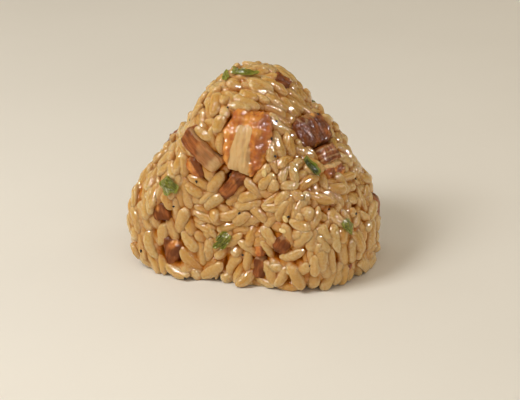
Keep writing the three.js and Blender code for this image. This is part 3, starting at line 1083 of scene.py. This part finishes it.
def leaf_shape(tree, leaf, seed):
    """Points, faces and marks of a scrap of green onion that has settled over the grains."""
    round_deg, up_deg, spin_deg, length, width, curl, ruffle, dark = leaf
    lattice, faces = cube_lattice(LEAF_CELLS)
    flat = (np.abs(lattice[:, :2]) ** 2.6).sum(axis=1) ** (1 / 2.6)
    level = (flat**3 + np.abs(lattice[:, 2]) ** 3) ** (1 / 3)
    shares = lattice / level[:, None]
    turn = np.arctan2(shares[:, 1], shares[:, 0])
    spread = shares[:, :2] * scrap_outline(turn, ruffle, seed)[:, None]
    flat_places = spread * (length / 2, width / 2)
    perch = Perch(tree, round_deg, up_deg, spin_deg, width / 4)
    settled = perch.heights(flat_places).clip(perch.height - LEAF_DIP, perch.height + LEAF_RISE)
    settled = smoothed(settled, faces, LEAF_SMOOTHING)
    lift = curl * np.abs(spread[:, 1]) ** 2.2 + 0.4 * curl * np.abs(spread[:, 0]) ** 3
    bed = np.column_stack((flat_places, np.zeros(len(lattice))))
    waves = 0.3 * ruffle * ripple(bed, 2.0, seed + 2)
    waves += 0.35 * ruffle * np.abs(ripple(bed * (0.3, 1, 1), 1.4, seed + 3))
    thick = LEAF_HALF * shares[:, 2]
    points = perch.placed(np.column_stack((flat_places, settled + LEAF_LIFT + lift + waves + thick)))
    marks = {"dark": np.full(len(points), dark), "rim": flat, "leafwise": bed}
    return points, faces, marks


def bead_shape(tree, place, size, seed, squareness=2.0, roughness=0.0):
    """Points and faces of a small bead of the given size lying on the surface."""
    lattice, faces = cube_lattice(BEAD_CELLS)
    spread = (np.abs(lattice) ** squareness).sum(axis=1) ** (1 / squareness)
    shares = lattice / spread[:, None]
    shares *= (1 + roughness * ripple(shares, 1.4, seed))[:, None]
    rng = np.random.default_rng(seed)
    perch = Perch(tree, *place, rng.uniform(-90, 90), 0.3)
    local = shares * np.array(size) / 2
    local[:, 2] += perch.height + size[2] * 0.25
    return perch.placed(local), faces


def joined(shapes):
    """Many shapes as one: their points, faces and marks run together."""
    points = np.concatenate([shape[0] for shape in shapes])
    starts = np.cumsum([0] + [len(shape[0]) for shape in shapes[:-1]])
    faces = np.concatenate([shape[1] + start for shape, start in zip(shapes, starts)])
    marks = {}
    for mark in shapes[0][2] if len(shapes[0]) > 2 else ():
        marks[mark] = np.concatenate([shape[2][mark] for shape in shapes])
    return points, faces, marks


# ---- Materials ----
def new_node(tree, kind, inputs=None, **settings):
    """A node with its settings, and its inputs linked to sockets or set to values or colours."""
    made = tree.nodes.new(kind)
    for key, value in settings.items():
        setattr(made, key, value)
    for key, value in (inputs or {}).items():
        socket = made.inputs[key]
        if isinstance(value, bpy.types.NodeSocket):
            tree.links.new(value, socket)
        elif socket.type == "RGBA":
            socket.default_value = (*value, 1)
        else:
            socket.default_value = value
    return made


def node_group(name, inputs, outputs):
    """An empty shader node group with named inputs and outputs, and its two ends."""
    group = bpy.data.node_groups.new(name, "ShaderNodeTree")
    for way, sockets in (("INPUT", inputs), ("OUTPUT", outputs)):
        for label, kind in sockets:
            group.interface.new_socket(label, in_out=way, socket_type=f"NodeSocket{kind}")
    return group, group.nodes.new("NodeGroupInput").outputs, group.nodes.new("NodeGroupOutput").inputs


def mixed(tree, share, low, high):
    """Low and high colours mixed by a share, each a socket or a colour."""
    ends = {0: share, 6: low, 7: high}
    return new_node(tree, "ShaderNodeMix", ends, data_type="RGBA").outputs[2]


def marked(tree, name, output="Fac"):
    """A mark on the mesh, read as a value or as a vector."""
    return new_node(tree, "ShaderNodeAttribute", attribute_name=name).outputs[output]


def stretched(tree, place, scales):
    """A place scaled along each axis."""
    return new_node(tree, "ShaderNodeMapping", {"Vector": place, "Scale": scales}).outputs["Vector"]


def noise(tree, place, scale, detail=2.0):
    """Noise over a place, its lumps about one over the scale in size."""
    made = new_node(tree, "ShaderNodeTexNoise", {"Vector": place, "Scale": scale, "Detail": detail})
    return made.outputs["Fac"]


def eased(tree, value, low, high, to_low=0.0, to_high=1.0):
    """A value moved smoothly from one range to another."""
    ends = {"Value": value, "From Min": low, "From Max": high, "To Min": to_low, "To Max": to_high}
    return new_node(tree, "ShaderNodeMapRange", ends, interpolation_type="SMOOTHSTEP").outputs["Result"]


def blotches_group():
    """The shared node group of two colours blotched together: their mix and the noise's height."""
    group = bpy.data.node_groups.get("blotches")
    if group:
        return group
    inputs = [("Place", "Vector"), ("First", "Color"), ("Second", "Color")]
    inputs += [(label, "Float") for label in ("Scale", "Detail", "Low", "High", "Most")]
    outputs = (("Colour", "Color"), ("Height", "Float"))
    group, start, end = node_group("blotches", inputs, outputs)
    height = noise(group, start["Place"], start["Scale"], start["Detail"])
    share = eased(group, height, start["Low"], start["High"], 0.0, start["Most"])
    group.links.new(mixed(group, share, start["First"], start["Second"]), end["Colour"])
    group.links.new(height, end["Height"])
    return group


def blotched(tree, place, scale, first, second, detail=2.0, low=0.35, high=0.65, most=1.0):
    """The colour and height outputs of blotches of two colours, each a socket or a colour."""
    inputs = {"Place": place, "Scale": scale, "Detail": detail, "Low": low, "High": high, "Most": most}
    inputs |= {"First": first, "Second": second}
    group = new_node(tree, "ShaderNodeGroup", inputs, node_tree=blotches_group())
    return group.outputs["Colour"], group.outputs["Height"]


def bumped(tree, height, distance, strength=1.0, under=None):
    """The normal of a height in metres, over another normal where there is one."""
    ends = {"Height": height, "Distance": distance, "Strength": strength}
    if under:
        ends["Normal"] = under
    return new_node(tree, "ShaderNodeBump", ends).outputs["Normal"]


def new_material(name):
    """An empty material and its node tree."""
    material = bpy.data.materials.new(name)
    material.use_nodes = True
    material.node_tree.nodes.clear()
    return material, material.node_tree


def surfaced(tree, **inputs):
    """The material's own surface shader and its output."""
    named = {key.replace("_", " "): value for key, value in inputs.items()}
    shader = new_node(tree, "ShaderNodeBsdfPrincipled", named)
    new_node(tree, "ShaderNodeOutputMaterial", {"Surface": shader.outputs["BSDF"]})


def rice_material(settings, name, film):
    """Wet seasoned rice: a grain's own colour over its middle, a painted rim light at its edge.

    Where grains meet and in the gaps it turns amber, partly the seasoning and partly painted shade,
    and near black in the deepest gaps, painted shade. The film of starch has no grains to mark, so
    its colour is blotched.
    """
    material, tree = new_material(name)
    place = new_node(tree, "ShaderNodeTexCoord").outputs["Object"]
    if film:
        grain, _ = blotched(tree, place, 130, settings.dark_rice, settings.pale_rice)
    else:
        grain = mixed(tree, marked(tree, "pale"), settings.dark_rice, settings.pale_rice)
    core = marked(tree, "core")
    # Painted rim light: each grain's edge and underside is mixed towards a paler colour, like a wet
    # translucent rim catching the light.
    rim = eased(tree, core, 0.1, 0.9, 0.65, 0.0)
    rim_lit = mixed(tree, rim, grain, settings.rim_light_rice)
    spotted, _ = blotched(tree, place, 1200, rim_lit, settings.dark_rice, 3, 0.42, 0.62, 0.5)
    # Painted shade: amber where grains meet, at their very rims.
    seam_shaded = mixed(tree, eased(tree, core, 0.0, 0.3, 0.3, 0.0), spotted, settings.amber_and_shade_rice)
    depth = marked(tree, "depth")
    # Amber deeper below the mean surface, partly the seasoning and partly painted shade; near black in
    # the deepest gaps, painted shade.
    amber = mixed(tree, eased(tree, depth, -0.5, 1.6), seam_shaded, settings.amber_and_shade_rice)
    colour = mixed(tree, eased(tree, depth, 0.9, 2.4), amber, settings.gap_shade_rice)
    ripples = bumped(tree, noise(tree, place, 620, 1.5), 0.0003, 0.5)
    moist = bumped(tree, noise(tree, place, 1250, 1), 0.0003, 0.55, ripples)
    pitted = bumped(tree, noise(tree, place, 1600, 2), 0.0003, 0.8, ripples)
    wet = {0: eased(tree, depth, 0.2, 1.8, 1.0, 0.05), 1: eased(tree, core, 0.0, 0.25, 0.3, 1.0)}
    coat = new_node(tree, "ShaderNodeMath", wet, operation="MULTIPLY").outputs[0]
    surfaced(
        tree, Base_Color=colour, Roughness=0.5, IOR=1.4, Specular_IOR_Level=0.0, Subsurface_Weight=0.85,
        Subsurface_Radius=(0.7, 0.85, 1.0), Subsurface_Scale=0.0013,
        Coat_Weight=coat, Coat_Roughness=0.06, Coat_IOR=1.55,
        Normal=pitted, Coat_Normal=moist,
    )
    return material


def pork_material(settings):
    """Braised pork: fibrous lean, pale fat and an orange-brown glaze, by the marks on the mesh."""
    material, tree = new_material("braised_pork")
    place = marked(tree, "meatwise", "Vector")
    fibre = noise(tree, stretched(tree, place, (1.0, 0.12, 1.0)), 2.4, 3)
    lean = mixed(tree, eased(tree, fibre, 0.25, 0.75, 0.35, 1.0), settings.dark_lean, settings.lean)
    lean = mixed(tree, eased(tree, marked(tree, "dark"), 0.1, 1.0), lean, settings.dark_lean)
    glaze, _ = blotched(tree, place, 0.28, settings.dark_glaze, settings.glaze)
    meat = mixed(tree, eased(tree, marked(tree, "glaze"), 0.2, 0.8), lean, glaze)
    fat = mixed(tree, eased(tree, fibre, 0.3, 0.6), settings.streaked_fat, settings.fat)
    colour = mixed(tree, eased(tree, marked(tree, "fat"), 0.15, 0.85), meat, fat)
    rough = eased(tree, marked(tree, "glaze"), 0.2, 0.8, 0.5, 0.35)
    grooves = bumped(tree, fibre, 0.0003, 0.35)
    lumps = bumped(tree, noise(tree, place, 0.5, 2), 0.0006, 0.5, grooves)
    moist = bumped(tree, noise(tree, place, 1.3, 1), 0.0002, 0.5, lumps)
    surfaced(
        tree, Base_Color=colour, Roughness=rough, IOR=1.42, Specular_IOR_Level=0.12,
        Subsurface_Weight=0.25, Subsurface_Radius=(1.0, 0.5, 0.3), Subsurface_Scale=0.0014,
        Coat_Weight=eased(tree, marked(tree, "glaze"), 0.2, 0.8, 0.3, 0.7), Coat_Roughness=0.08,
        Coat_IOR=1.5, Normal=lumps, Coat_Normal=moist,
    )
    return material


def leaf_material(settings):
    """Cooked green onion: dark wet green, paler along its veins and at its cut rim."""
    material, tree = new_material("green_onion")
    place = marked(tree, "leafwise", "Vector")
    along = stretched(tree, place, (0.35, 1.6, 1.0))
    green, veins = blotched(tree, along, 1.6, settings.leaf, settings.pale_leaf, 3, 0.35, 0.68)
    dark = eased(tree, marked(tree, "dark"), 0.0, 1.0, 0.0, 0.85)
    green = mixed(tree, dark, green, settings.dark_leaf)
    rim = eased(tree, marked(tree, "rim"), 0.8, 1.0, 0.0, 0.45)
    colour = mixed(tree, rim, green, settings.pale_leaf)
    wrinkles = bumped(tree, veins, 0.0004, 0.6)
    surfaced(
        tree, Base_Color=colour, Roughness=0.45, Specular_IOR_Level=0.1, Subsurface_Weight=0.25,
        Subsurface_Radius=(0.4, 1.0, 0.2), Subsurface_Scale=0.0006,
        Coat_Weight=0.6, Coat_Roughness=0.08, Normal=wrinkles,
        Coat_Normal=bumped(tree, noise(tree, place, 1.6, 2), 0.0003, 0.6),
    )
    return material


def speckled_material(name, low, high, scale, roughness, gloss):
    """A small hard thing, two colours blotched together."""
    material, tree = new_material(name)
    place = new_node(tree, "ShaderNodeTexCoord").outputs["Object"]
    colour, height = blotched(tree, place, scale, low, high, 3)
    surfaced(
        tree, Base_Color=colour, Roughness=roughness, Specular_IOR_Level=0.1, Coat_Weight=gloss,
        Coat_Roughness=0.1, Normal=bumped(tree, height, 0.0002, 0.5),
    )
    return material


# ---- Settings ----
def length_setting(name, description, default):
    """A length in metres."""
    return FloatProperty(
        name=name, description=description, default=default, unit="LENGTH", precision=5
    )


def count_setting(name, description, default):
    """A whole number."""
    return IntProperty(name=name, description=description, default=default, min=0)


def number_setting(name, description, default):
    """A plain number."""
    return FloatProperty(name=name, description=description, default=default, min=0)


def colour_setting(name, description, default):
    """A linear colour."""
    return FloatVectorProperty(
        name=name, description=description, default=default, subtype="COLOR", min=0, max=1
    )


def angle_setting(name, description, degrees):
    """An angle, its default in degrees."""
    return FloatProperty(
        name=name, description=description, default=math.radians(degrees), subtype="ANGLE"
    )


class RiceSettings(bpy.types.PropertyGroup):
    """The grains, how they are packed, the starch and the colours of the rice."""

    grain_length: length_setting("Grain length", "Length of a cooked grain", 0.0090)
    grain_width: length_setting("Grain width", "Width of a cooked grain", 0.0039)
    grain_squash: length_setting("Squash", "How far pressed grains dent each other", 0.0011)
    grain_count: count_setting("Grains", "Grains in the outer shell", 1290)
    base_count: count_setting("Base grains", "Grains on the flat base", 92)
    shell_depth: length_setting("Shell depth", "How deep the loose grains go", 0.0072)
    outward_pull: length_setting("Outward pull", "How hard the grains crowd the skin", 0.00006)
    chunk_room: length_setting("Chunk room", "How far grain middles keep from the pork", 0.0003)
    pack_steps: count_setting("Packing steps", "How long the grains settle", 170)
    film_cells: count_setting("Film cells", "Fineness of the starch film", 118)
    film_smoothing: count_setting("Film smoothing", "How wide crevices fill", 4)
    film_depth: length_setting("Film depth", "How far the film lies below the mean surface", 0.0008)
    buried_share: number_setting("Buried", "Share of grains under others", 0.4)
    pale_rice: colour_setting("Pale rice", "The palest grains", (0.585, 0.42, 0.185))
    dark_rice: colour_setting("Dark rice", "The most seasoned grains", (0.52, 0.275, 0.062))
    # Painted rim light on the edges of the grains.
    rim_light_rice: colour_setting("Cloudy rice", "Pale rims of the grains", (0.64, 0.48, 0.26))
    # Amber where grains meet and in the crevices, partly seasoning and partly painted shade; the deep
    # colour is painted shade in the deepest gaps.
    amber_and_shade_rice: colour_setting("Amber rice", "In the crevices", (0.42, 0.125, 0.004))
    gap_shade_rice: colour_setting("Deep rice", "In the deepest gaps", (0.12, 0.02, 0.001))


class PorkSettings(bpy.types.PropertyGroup):
    """The colours of the pork."""

    lean: colour_setting("Lean", "Lean meat", (0.36, 0.112, 0.026))
    dark_lean: colour_setting("Dark lean", "The darkest meat", (0.15, 0.04, 0.007))
    glaze: colour_setting("Glaze", "Glazed rims", (0.68, 0.29, 0.055))
    dark_glaze: colour_setting("Dark glaze", "Darker glaze", (0.42, 0.12, 0.025))
    fat: colour_setting("Fat", "Pale fat", (0.62, 0.41, 0.19))
    streaked_fat: colour_setting("Streaked fat", "Streaks in the fat", (0.60, 0.36, 0.14))


class GarnishSettings(bpy.types.PropertyGroup):
    """Green onion, sesame and pepper."""

    leaf: colour_setting("Green", "Green onion", (0.105, 0.115, 0.006))
    pale_leaf: colour_setting("Pale green", "Veins and cut rims", (0.30, 0.28, 0.035))
    dark_leaf: colour_setting("Dark green", "The darkest green onion", (0.022, 0.028, 0.002))
    sesame_length: length_setting("Sesame length", "Length of a sesame seed", 0.0024)
    pepper_size: length_setting("Pepper size", "Size of a fleck of pepper", 0.0007)
    unseen_flecks: count_setting("Unseen flecks", "Pepper flecks anywhere", 16)


class StageSettings(bpy.types.PropertyGroup):
    """The camera and the lights."""

    lens: number_setting("Lens", "Focal length in millimetres", 131.5)
    distance: length_setting("Distance", "Camera to the middle of the base", 0.608)
    round_angle: angle_setting("Round", "How far right of the front the camera stands", 23)
    up_angle: angle_setting("Up", "How far up the camera stands", 23.6)
    roll: angle_setting("Roll", "How far the camera is rolled", 2.4)
    key_light: number_setting("Key light", "Watts from above left", 2.3)
    edge_light: number_setting("Edge light", "Watts from behind left", 0.18)
    glint_light: number_setting("Glint light", "Watts of a small light for moist glints", 2.0)
    fill_light: number_setting("Fill light", "Watts from the front right", 0.72)
    back_light: number_setting("Back light", "Watts from behind right", 0.3)
    room_light: number_setting("Room light", "Strength of the light all round", 0.5)


# ---- Operators ----

# The view's size and where the middle of the base lands in it, in pixels, and the width of the
# camera's sensor in millimetres.
VIEW_WIDTH = 520
VIEW_HEIGHT = 400
BASE_ACROSS = 255.4
BASE_DOWN = 254.5
SENSOR_WIDTH = 36

# The soft lights: place, size and tint. Each is as strong as the setting of its name says.
SOFT_LIGHTS = {
    "key_light": ((-0.26, -0.32, 0.47), (0.26, 0.22), (1, 0.985, 0.96)),
    "edge_light": ((-0.50, 0.24, 0.30), (0.2, 0.2), (1, 0.97, 0.92)),
    "fill_light": ((0.5, -0.5, 0.3), (0.5, 0.5), (1, 0.94, 0.85)),
    "back_light": ((0.42, 0.42, 0.34), (0.2, 0.2), (1, 0.86, 0.64)),
}

# The small lights that only show as glints on what is moist: place, and share of the setting.
GLINT_SIZE = (0.15, 0.03)
GLINT_LIGHTS = {
    "glint_top": ((-0.14, -0.16, 0.62), 0.35),
    "glint_left": ((-0.30, -0.36, 0.46), 1.15),
    "glint_right": ((0.40, -0.22, 0.44), 1.5),
    "glint_side": ((0.50, 0.06, 0.33), 1.6),
}

# What the lights face, the colour of the light all round, the floor's two colours and half of its
# width, in metres.
LIGHTS_AIM = (0, 0, 0.03)
ROOM_TINT = (1, 0.89, 0.72)
FLOOR_COLOURS = ((0.74, 0.71, 0.65), (0.78, 0.75, 0.69))
FLOOR_EDGE = 3.0

# The pieces of grains and of pork, and the starch under them, on which the garnish lies.
GRAIN_PIECES = (*GRAIN_KINDS, BASE_PIECE)
PORK_PIECES = tuple(f"{name}_meat" for name in CHUNKS)
CORE_PIECE = "rice_core"

# What the random draws of each step start from, and those of the first of several like shapes.
SHELL_SEED = 7
BASE_SEED = 11
SPECK_SEED = 31
LEAF_SEED = 300
SESAME_SEED = 500
PEPPER_SEED = 600
CRUMB_SEED = 700

# How far apart the seeds of two chunks, and of two scraps of leaf, are.
CHUNK_SEED_STEP = 100
LEAF_SEED_STEP = 10

# Grains whose middles lie deeper than this under the skin aren't made, because none of them shows.
DEEPEST_SHOWN = 4.6

# The film of starch counts as this near to a grain's middle all over, which gives it about half of the
# grains' painted rim light and none of their painted shade at the seams.
FILM_CORE = 0.3

# Small hard things: slot, two colours, fineness, roughness and gloss.
SPECKS = {
    "sesame": ("sesame", (0.62, 0.42, 0.15), (0.80, 0.62, 0.30), 900, 0.4, 0.3),
    "pepper": ("pepper", (0.012, 0.010, 0.010), (0.045, 0.035, 0.03), 1500, 0.5, 0.2),
    "meat_crumbs": ("pork", (0.20, 0.05, 0.02), (0.40, 0.12, 0.05), 700, 0.3, 0.5),
}


def area_light(name, place, size, watts, tint, glints_only=False):
    """A soft light that faces the middle of the rice ball; one for glints lights only the gloss."""
    lamp = bpy.data.lights.new(name, "AREA")
    lamp.shape = "RECTANGLE"
    lamp.size, lamp.size_y = size
    lamp.energy = watts
    lamp.color = tint
    light = bpy.data.objects.new(name, lamp)
    light.location = place
    light.rotation_euler = (Vector(LIGHTS_AIM) - Vector(place)).to_track_quat("-Z", "Y").to_euler()
    light.visible_diffuse = not glints_only
    bpy.context.scene.collection.objects.link(light)


class RICEBALL_OT_stage(bpy.types.Operator):
    """Sets up the floor, the lights and the camera"""

    bl_idname = "riceball.stage"
    bl_label = "Stage"

    def execute(self, context):
        stage = context.scene.riceball_stage
        self.camera(context.scene, stage)
        self.floor()
        self.lights(context.scene, stage)
        return {"FINISHED"}

    def camera(self, scene, stage):
        """A camera turned so that the middle of the base lands at its place in the view."""
        data = bpy.data.cameras.new("camera")
        data.lens = stage.lens
        data.sensor_width = SENSOR_WIDTH
        data.clip_start = 0.01
        camera = bpy.data.objects.new("camera", data)
        scene.collection.objects.link(camera)
        way = direction_from(math.degrees(stage.round_angle), math.degrees(stage.up_angle))
        way = Vector(way.tolist())
        pixels = stage.lens / SENSOR_WIDTH * VIEW_WIDTH
        across = (BASE_ACROSS - VIEW_WIDTH / 2) / pixels
        up = (VIEW_HEIGHT / 2 - BASE_DOWN) / pixels
        looking = (-way).to_track_quat("-Z", "Y").to_matrix()
        rolled = Matrix.Rotation(-stage.roll, 3, "Z")
        aimed = Vector((0, 0, -1)).rotation_difference(Vector((across, up, -1))).to_matrix()
        turned = looking @ rolled @ aimed.inverted()
        camera.matrix_world = Matrix.Translation(way * stage.distance) @ turned.to_4x4()
        scene.camera = camera

    def floor(self):
        """A wide pale floor."""
        material, tree = new_material("pale_floor")
        place = new_node(tree, "ShaderNodeTexCoord").outputs["Object"]
        colour, _ = blotched(tree, place, 9, *FLOOR_COLOURS, 3, 0.0, 1.0)
        surfaced(tree, Base_Color=colour, Roughness=0.7, Specular_IOR_Level=0.1)
        mesh = bpy.data.meshes.new("floor")
        corners = [(x * FLOOR_EDGE, y * FLOOR_EDGE, 0) for x, y in ((-1, -1), (1, -1), (1, 1), (-1, 1))]
        mesh.from_pydata(corners, [], [(0, 1, 2, 3)])
        mesh.materials.append(material)
        floor = bpy.data.objects.new("floor", mesh)
        bpy.context.scene.collection.objects.link(floor)

    def lights(self, scene, stage):
        """The soft lights, the glints, and a light all round that doesn't show in the gloss."""
        for name, (place, size, tint) in SOFT_LIGHTS.items():
            area_light(name, place, size, getattr(stage, name), tint)
        for name, (place, share) in GLINT_LIGHTS.items():
            watts = share * stage.glint_light
            area_light(name, place, GLINT_SIZE, watts, (1, 1, 1), glints_only=True)
        world = bpy.data.worlds.new("studio")
        world.use_nodes = True
        room = world.node_tree.nodes["Background"]
        room.inputs["Color"].default_value = (*ROOM_TINT, 1)
        room.inputs["Strength"].default_value = stage.room_light
        world.cycles_visibility.glossy = False
        scene.world = world
        scene.view_settings.view_transform = "Standard"


class RICEBALL_OT_rice(bpy.types.Operator):
    """Packs the grains of rice, one piece for each kind of grain"""

    bl_idname = "riceball.rice"
    bl_label = "Rice"

    def execute(self, context):
        settings = context.scene.riceball_rice
        self.material = rice_material(settings, "cooked_rice", film=False)
        rng = np.random.default_rng(SHELL_SEED)
        lay = pack_shell(settings, rng)
        kinds = rng.permutation(lay.count)
        depth, _ = body_skin(lay.middles)
        start = 0
        for name, kind in GRAIN_KINDS.items():
            stop = start + kind[0] * lay.count
            chosen = np.flatnonzero((kinds >= start) & (kinds < stop) & (depth > -DEEPEST_SHOWN))
            start = stop
            self.grains(name, lay, chosen, kind, rng)
        rng = np.random.default_rng(BASE_SEED)
        lay = pack_base(settings, rng)
        self.grains(BASE_PIECE, lay, np.arange(lay.count), GRAIN_KINDS["rice_plump"], rng)
        return {"FINISHED"}

    def grains(self, name, lay, chosen, kind, rng):
        """One piece of the chosen grains, none of them below the floor."""
        shapes, core = grain_shapes(lay, chosen, kind, rng)
        shapes = laid_grains(lay, chosen, shapes, rng)
        count, each, _ = shapes.shape
        points = lifted(shapes.reshape(-1, 3), GRAIN_FLOOR)
        marks = {"pale": np.repeat(lay.pale[chosen], each), "core": np.tile(core, count)}
        caps, sides = bead_faces(GRAIN_RINGS, GRAIN_AROUND)
        faces = [repeated(caps, count, each), repeated(sides, count, each)]
        new_piece(name, points, faces, self.material, marks, ("rice_body",))


class RICEBALL_OT_pork(bpy.types.Operator):
    """Makes the chunks of braised pork"""

    bl_idname = "riceball.pork"
    bl_label = "Pork"

    def execute(self, context):
        material = pork_material(context.scene.riceball_pork)
        for seed, (seat, name) in enumerate(zip(SEATS, PORK_PIECES)):
            points, faces, marks = pork_shape(seat, CHUNK_SEED_STEP * seed)
            new_piece(name, points, [faces], material, marks, (seat.name,))
        return {"FINISHED"}


class RICEBALL_OT_starch(bpy.types.Operator):
    """Makes the sticky core under the grains and marks the crevices; needs the rice and the pork"""

    bl_idname = "riceball.starch"
    bl_label = "Starch"

    def execute(self, context):
        settings = context.scene.riceball_rice
        names = GRAIN_PIECES + PORK_PIECES
        surface = MeanSurface(names, settings.film_cells, settings.film_smoothing)
        # The depth marks turn the crevices amber and then near black: partly seasoning, partly painted
        # shade.
        for name in GRAIN_PIECES:
            mesh = bpy.data.objects[name].data
            add_mark(mesh, "depth", marked_depth(surface, mesh_points(mesh)))
        points = starch_surface(surface, settings.film_depth / MM)
        marks = {"depth": marked_depth(surface, points), "core": np.full(len(points), FILM_CORE)}
        material = rice_material(settings, "rice_starch", film=True)
        new_piece(CORE_PIECE, points, [surface.faces], material, marks, ("rice_body",))
        return {"FINISHED"}


class RICEBALL_OT_green_onion(bpy.types.Operator):
    """Lays scraps of green onion over the rice; needs the starch"""

    bl_idname = "riceball.green_onion"
    bl_label = "Green onion"

    def execute(self, context):
        tree = search_tree((*GRAIN_PIECES, *PORK_PIECES, CORE_PIECE))
        shapes = []
        for index, leaf in enumerate(LEAVES):
            shapes.append(leaf_shape(tree, leaf, LEAF_SEED + LEAF_SEED_STEP * index))
        points, faces, marks = joined(shapes)
        material = leaf_material(context.scene.riceball_garnish)
        new_piece("green_onion", points, [faces], material, marks)
        return {"FINISHED"}


class RICEBALL_OT_specks(bpy.types.Operator):
    """Scatters sesame, pepper and crumbs of meat; needs the starch"""

    bl_idname = "riceball.specks"
    bl_label = "Sesame, pepper and crumbs"

    def execute(self, context):
        settings = context.scene.riceball_garnish
        tree = search_tree((*GRAIN_PIECES, *PORK_PIECES, CORE_PIECE))
        rng = np.random.default_rng(SPECK_SEED)
        shapes = {
            "sesame": self.sesame(tree, settings),
            "pepper": self.pepper(tree, settings, rng),
            "meat_crumbs": self.crumbs(tree, rng),
        }
        for name, (slot, *looks) in SPECKS.items():
            points, faces, _ = joined(shapes[name])
            new_piece(name, points, [faces], speckled_material(name, *looks))
        return {"FINISHED"}

    def sesame(self, tree, settings):
        """Flattened seeds, all of one size."""
        size = settings.sesame_length / MM * np.array((1, 0.62, 0.38))
        seeds = []
        for index, place in enumerate(SESAME):
            seeds.append(bead_shape(tree, place, size, SESAME_SEED + index, squareness=2.2))
        return seeds

    def pepper(self, tree, settings, rng):
        """Flecks at their places and a few more at random round the sides and the back."""
        fleck = settings.pepper_size / MM
        unseen = [(rng.uniform(95, 330), rng.uniform(-35, 60)) for _ in range(settings.unseen_flecks)]
        flecks = []
        for index, place in enumerate((*PEPPER, *unseen)):
            size = fleck * rng.uniform(0.8, 1.35) * np.array((1, 0.75, 0.6))
            flecks.append(bead_shape(tree, place, size, PEPPER_SEED + index, 3.0, 0.2))
        return flecks

    def crumbs(self, tree, rng):
        """Crumbs of meat, 1.3 to 2.2 mm long."""
        crumbs = []
        for index, place in enumerate(CRUMBS):
            size = rng.uniform(1.3, 2.2) * np.array((1, 0.7, 0.55))
            crumbs.append(bead_shape(tree, place, size, CRUMB_SEED + index, 2.6, 0.15))
        return crumbs


class RICEBALL_PT_panel(bpy.types.Panel):
    """Lists the steps that build the rice ball"""

    bl_idname = "RICEBALL_PT_panel"
    bl_label = "Rice ball"
    bl_space_type = "VIEW_3D"
    bl_region_type = "UI"
    bl_category = "Rice ball"

    def draw(self, context):
        for operator in OPERATORS:
            self.layout.operator(operator.bl_idname)


OPERATORS = (
    RICEBALL_OT_stage,
    RICEBALL_OT_rice,
    RICEBALL_OT_pork,
    RICEBALL_OT_starch,
    RICEBALL_OT_green_onion,
    RICEBALL_OT_specks,
)
SETTINGS = {
    "riceball_rice": RiceSettings,
    "riceball_pork": PorkSettings,
    "riceball_garnish": GarnishSettings,
    "riceball_stage": StageSettings,
}


def register():
    """Makes the settings, the operators and the panel known to Blender."""
    for made in (*SETTINGS.values(), *OPERATORS, RICEBALL_PT_panel):
        bpy.utils.register_class(made)
    for name, group in SETTINGS.items():
        setattr(bpy.types.Scene, name, PointerProperty(type=group))


def unregister():
    """Takes back what register did."""
    for name in SETTINGS:
        delattr(bpy.types.Scene, name)
    for made in reversed((*SETTINGS.values(), *OPERATORS, RICEBALL_PT_panel)):
        bpy.utils.unregister_class(made)


def main():
    register()
    bpy.ops.riceball.stage()
    bpy.ops.riceball.rice()
    bpy.ops.riceball.pork()
    bpy.ops.riceball.starch()
    bpy.ops.riceball.green_onion()
    bpy.ops.riceball.specks()


if __name__ == "__main__":
    main()
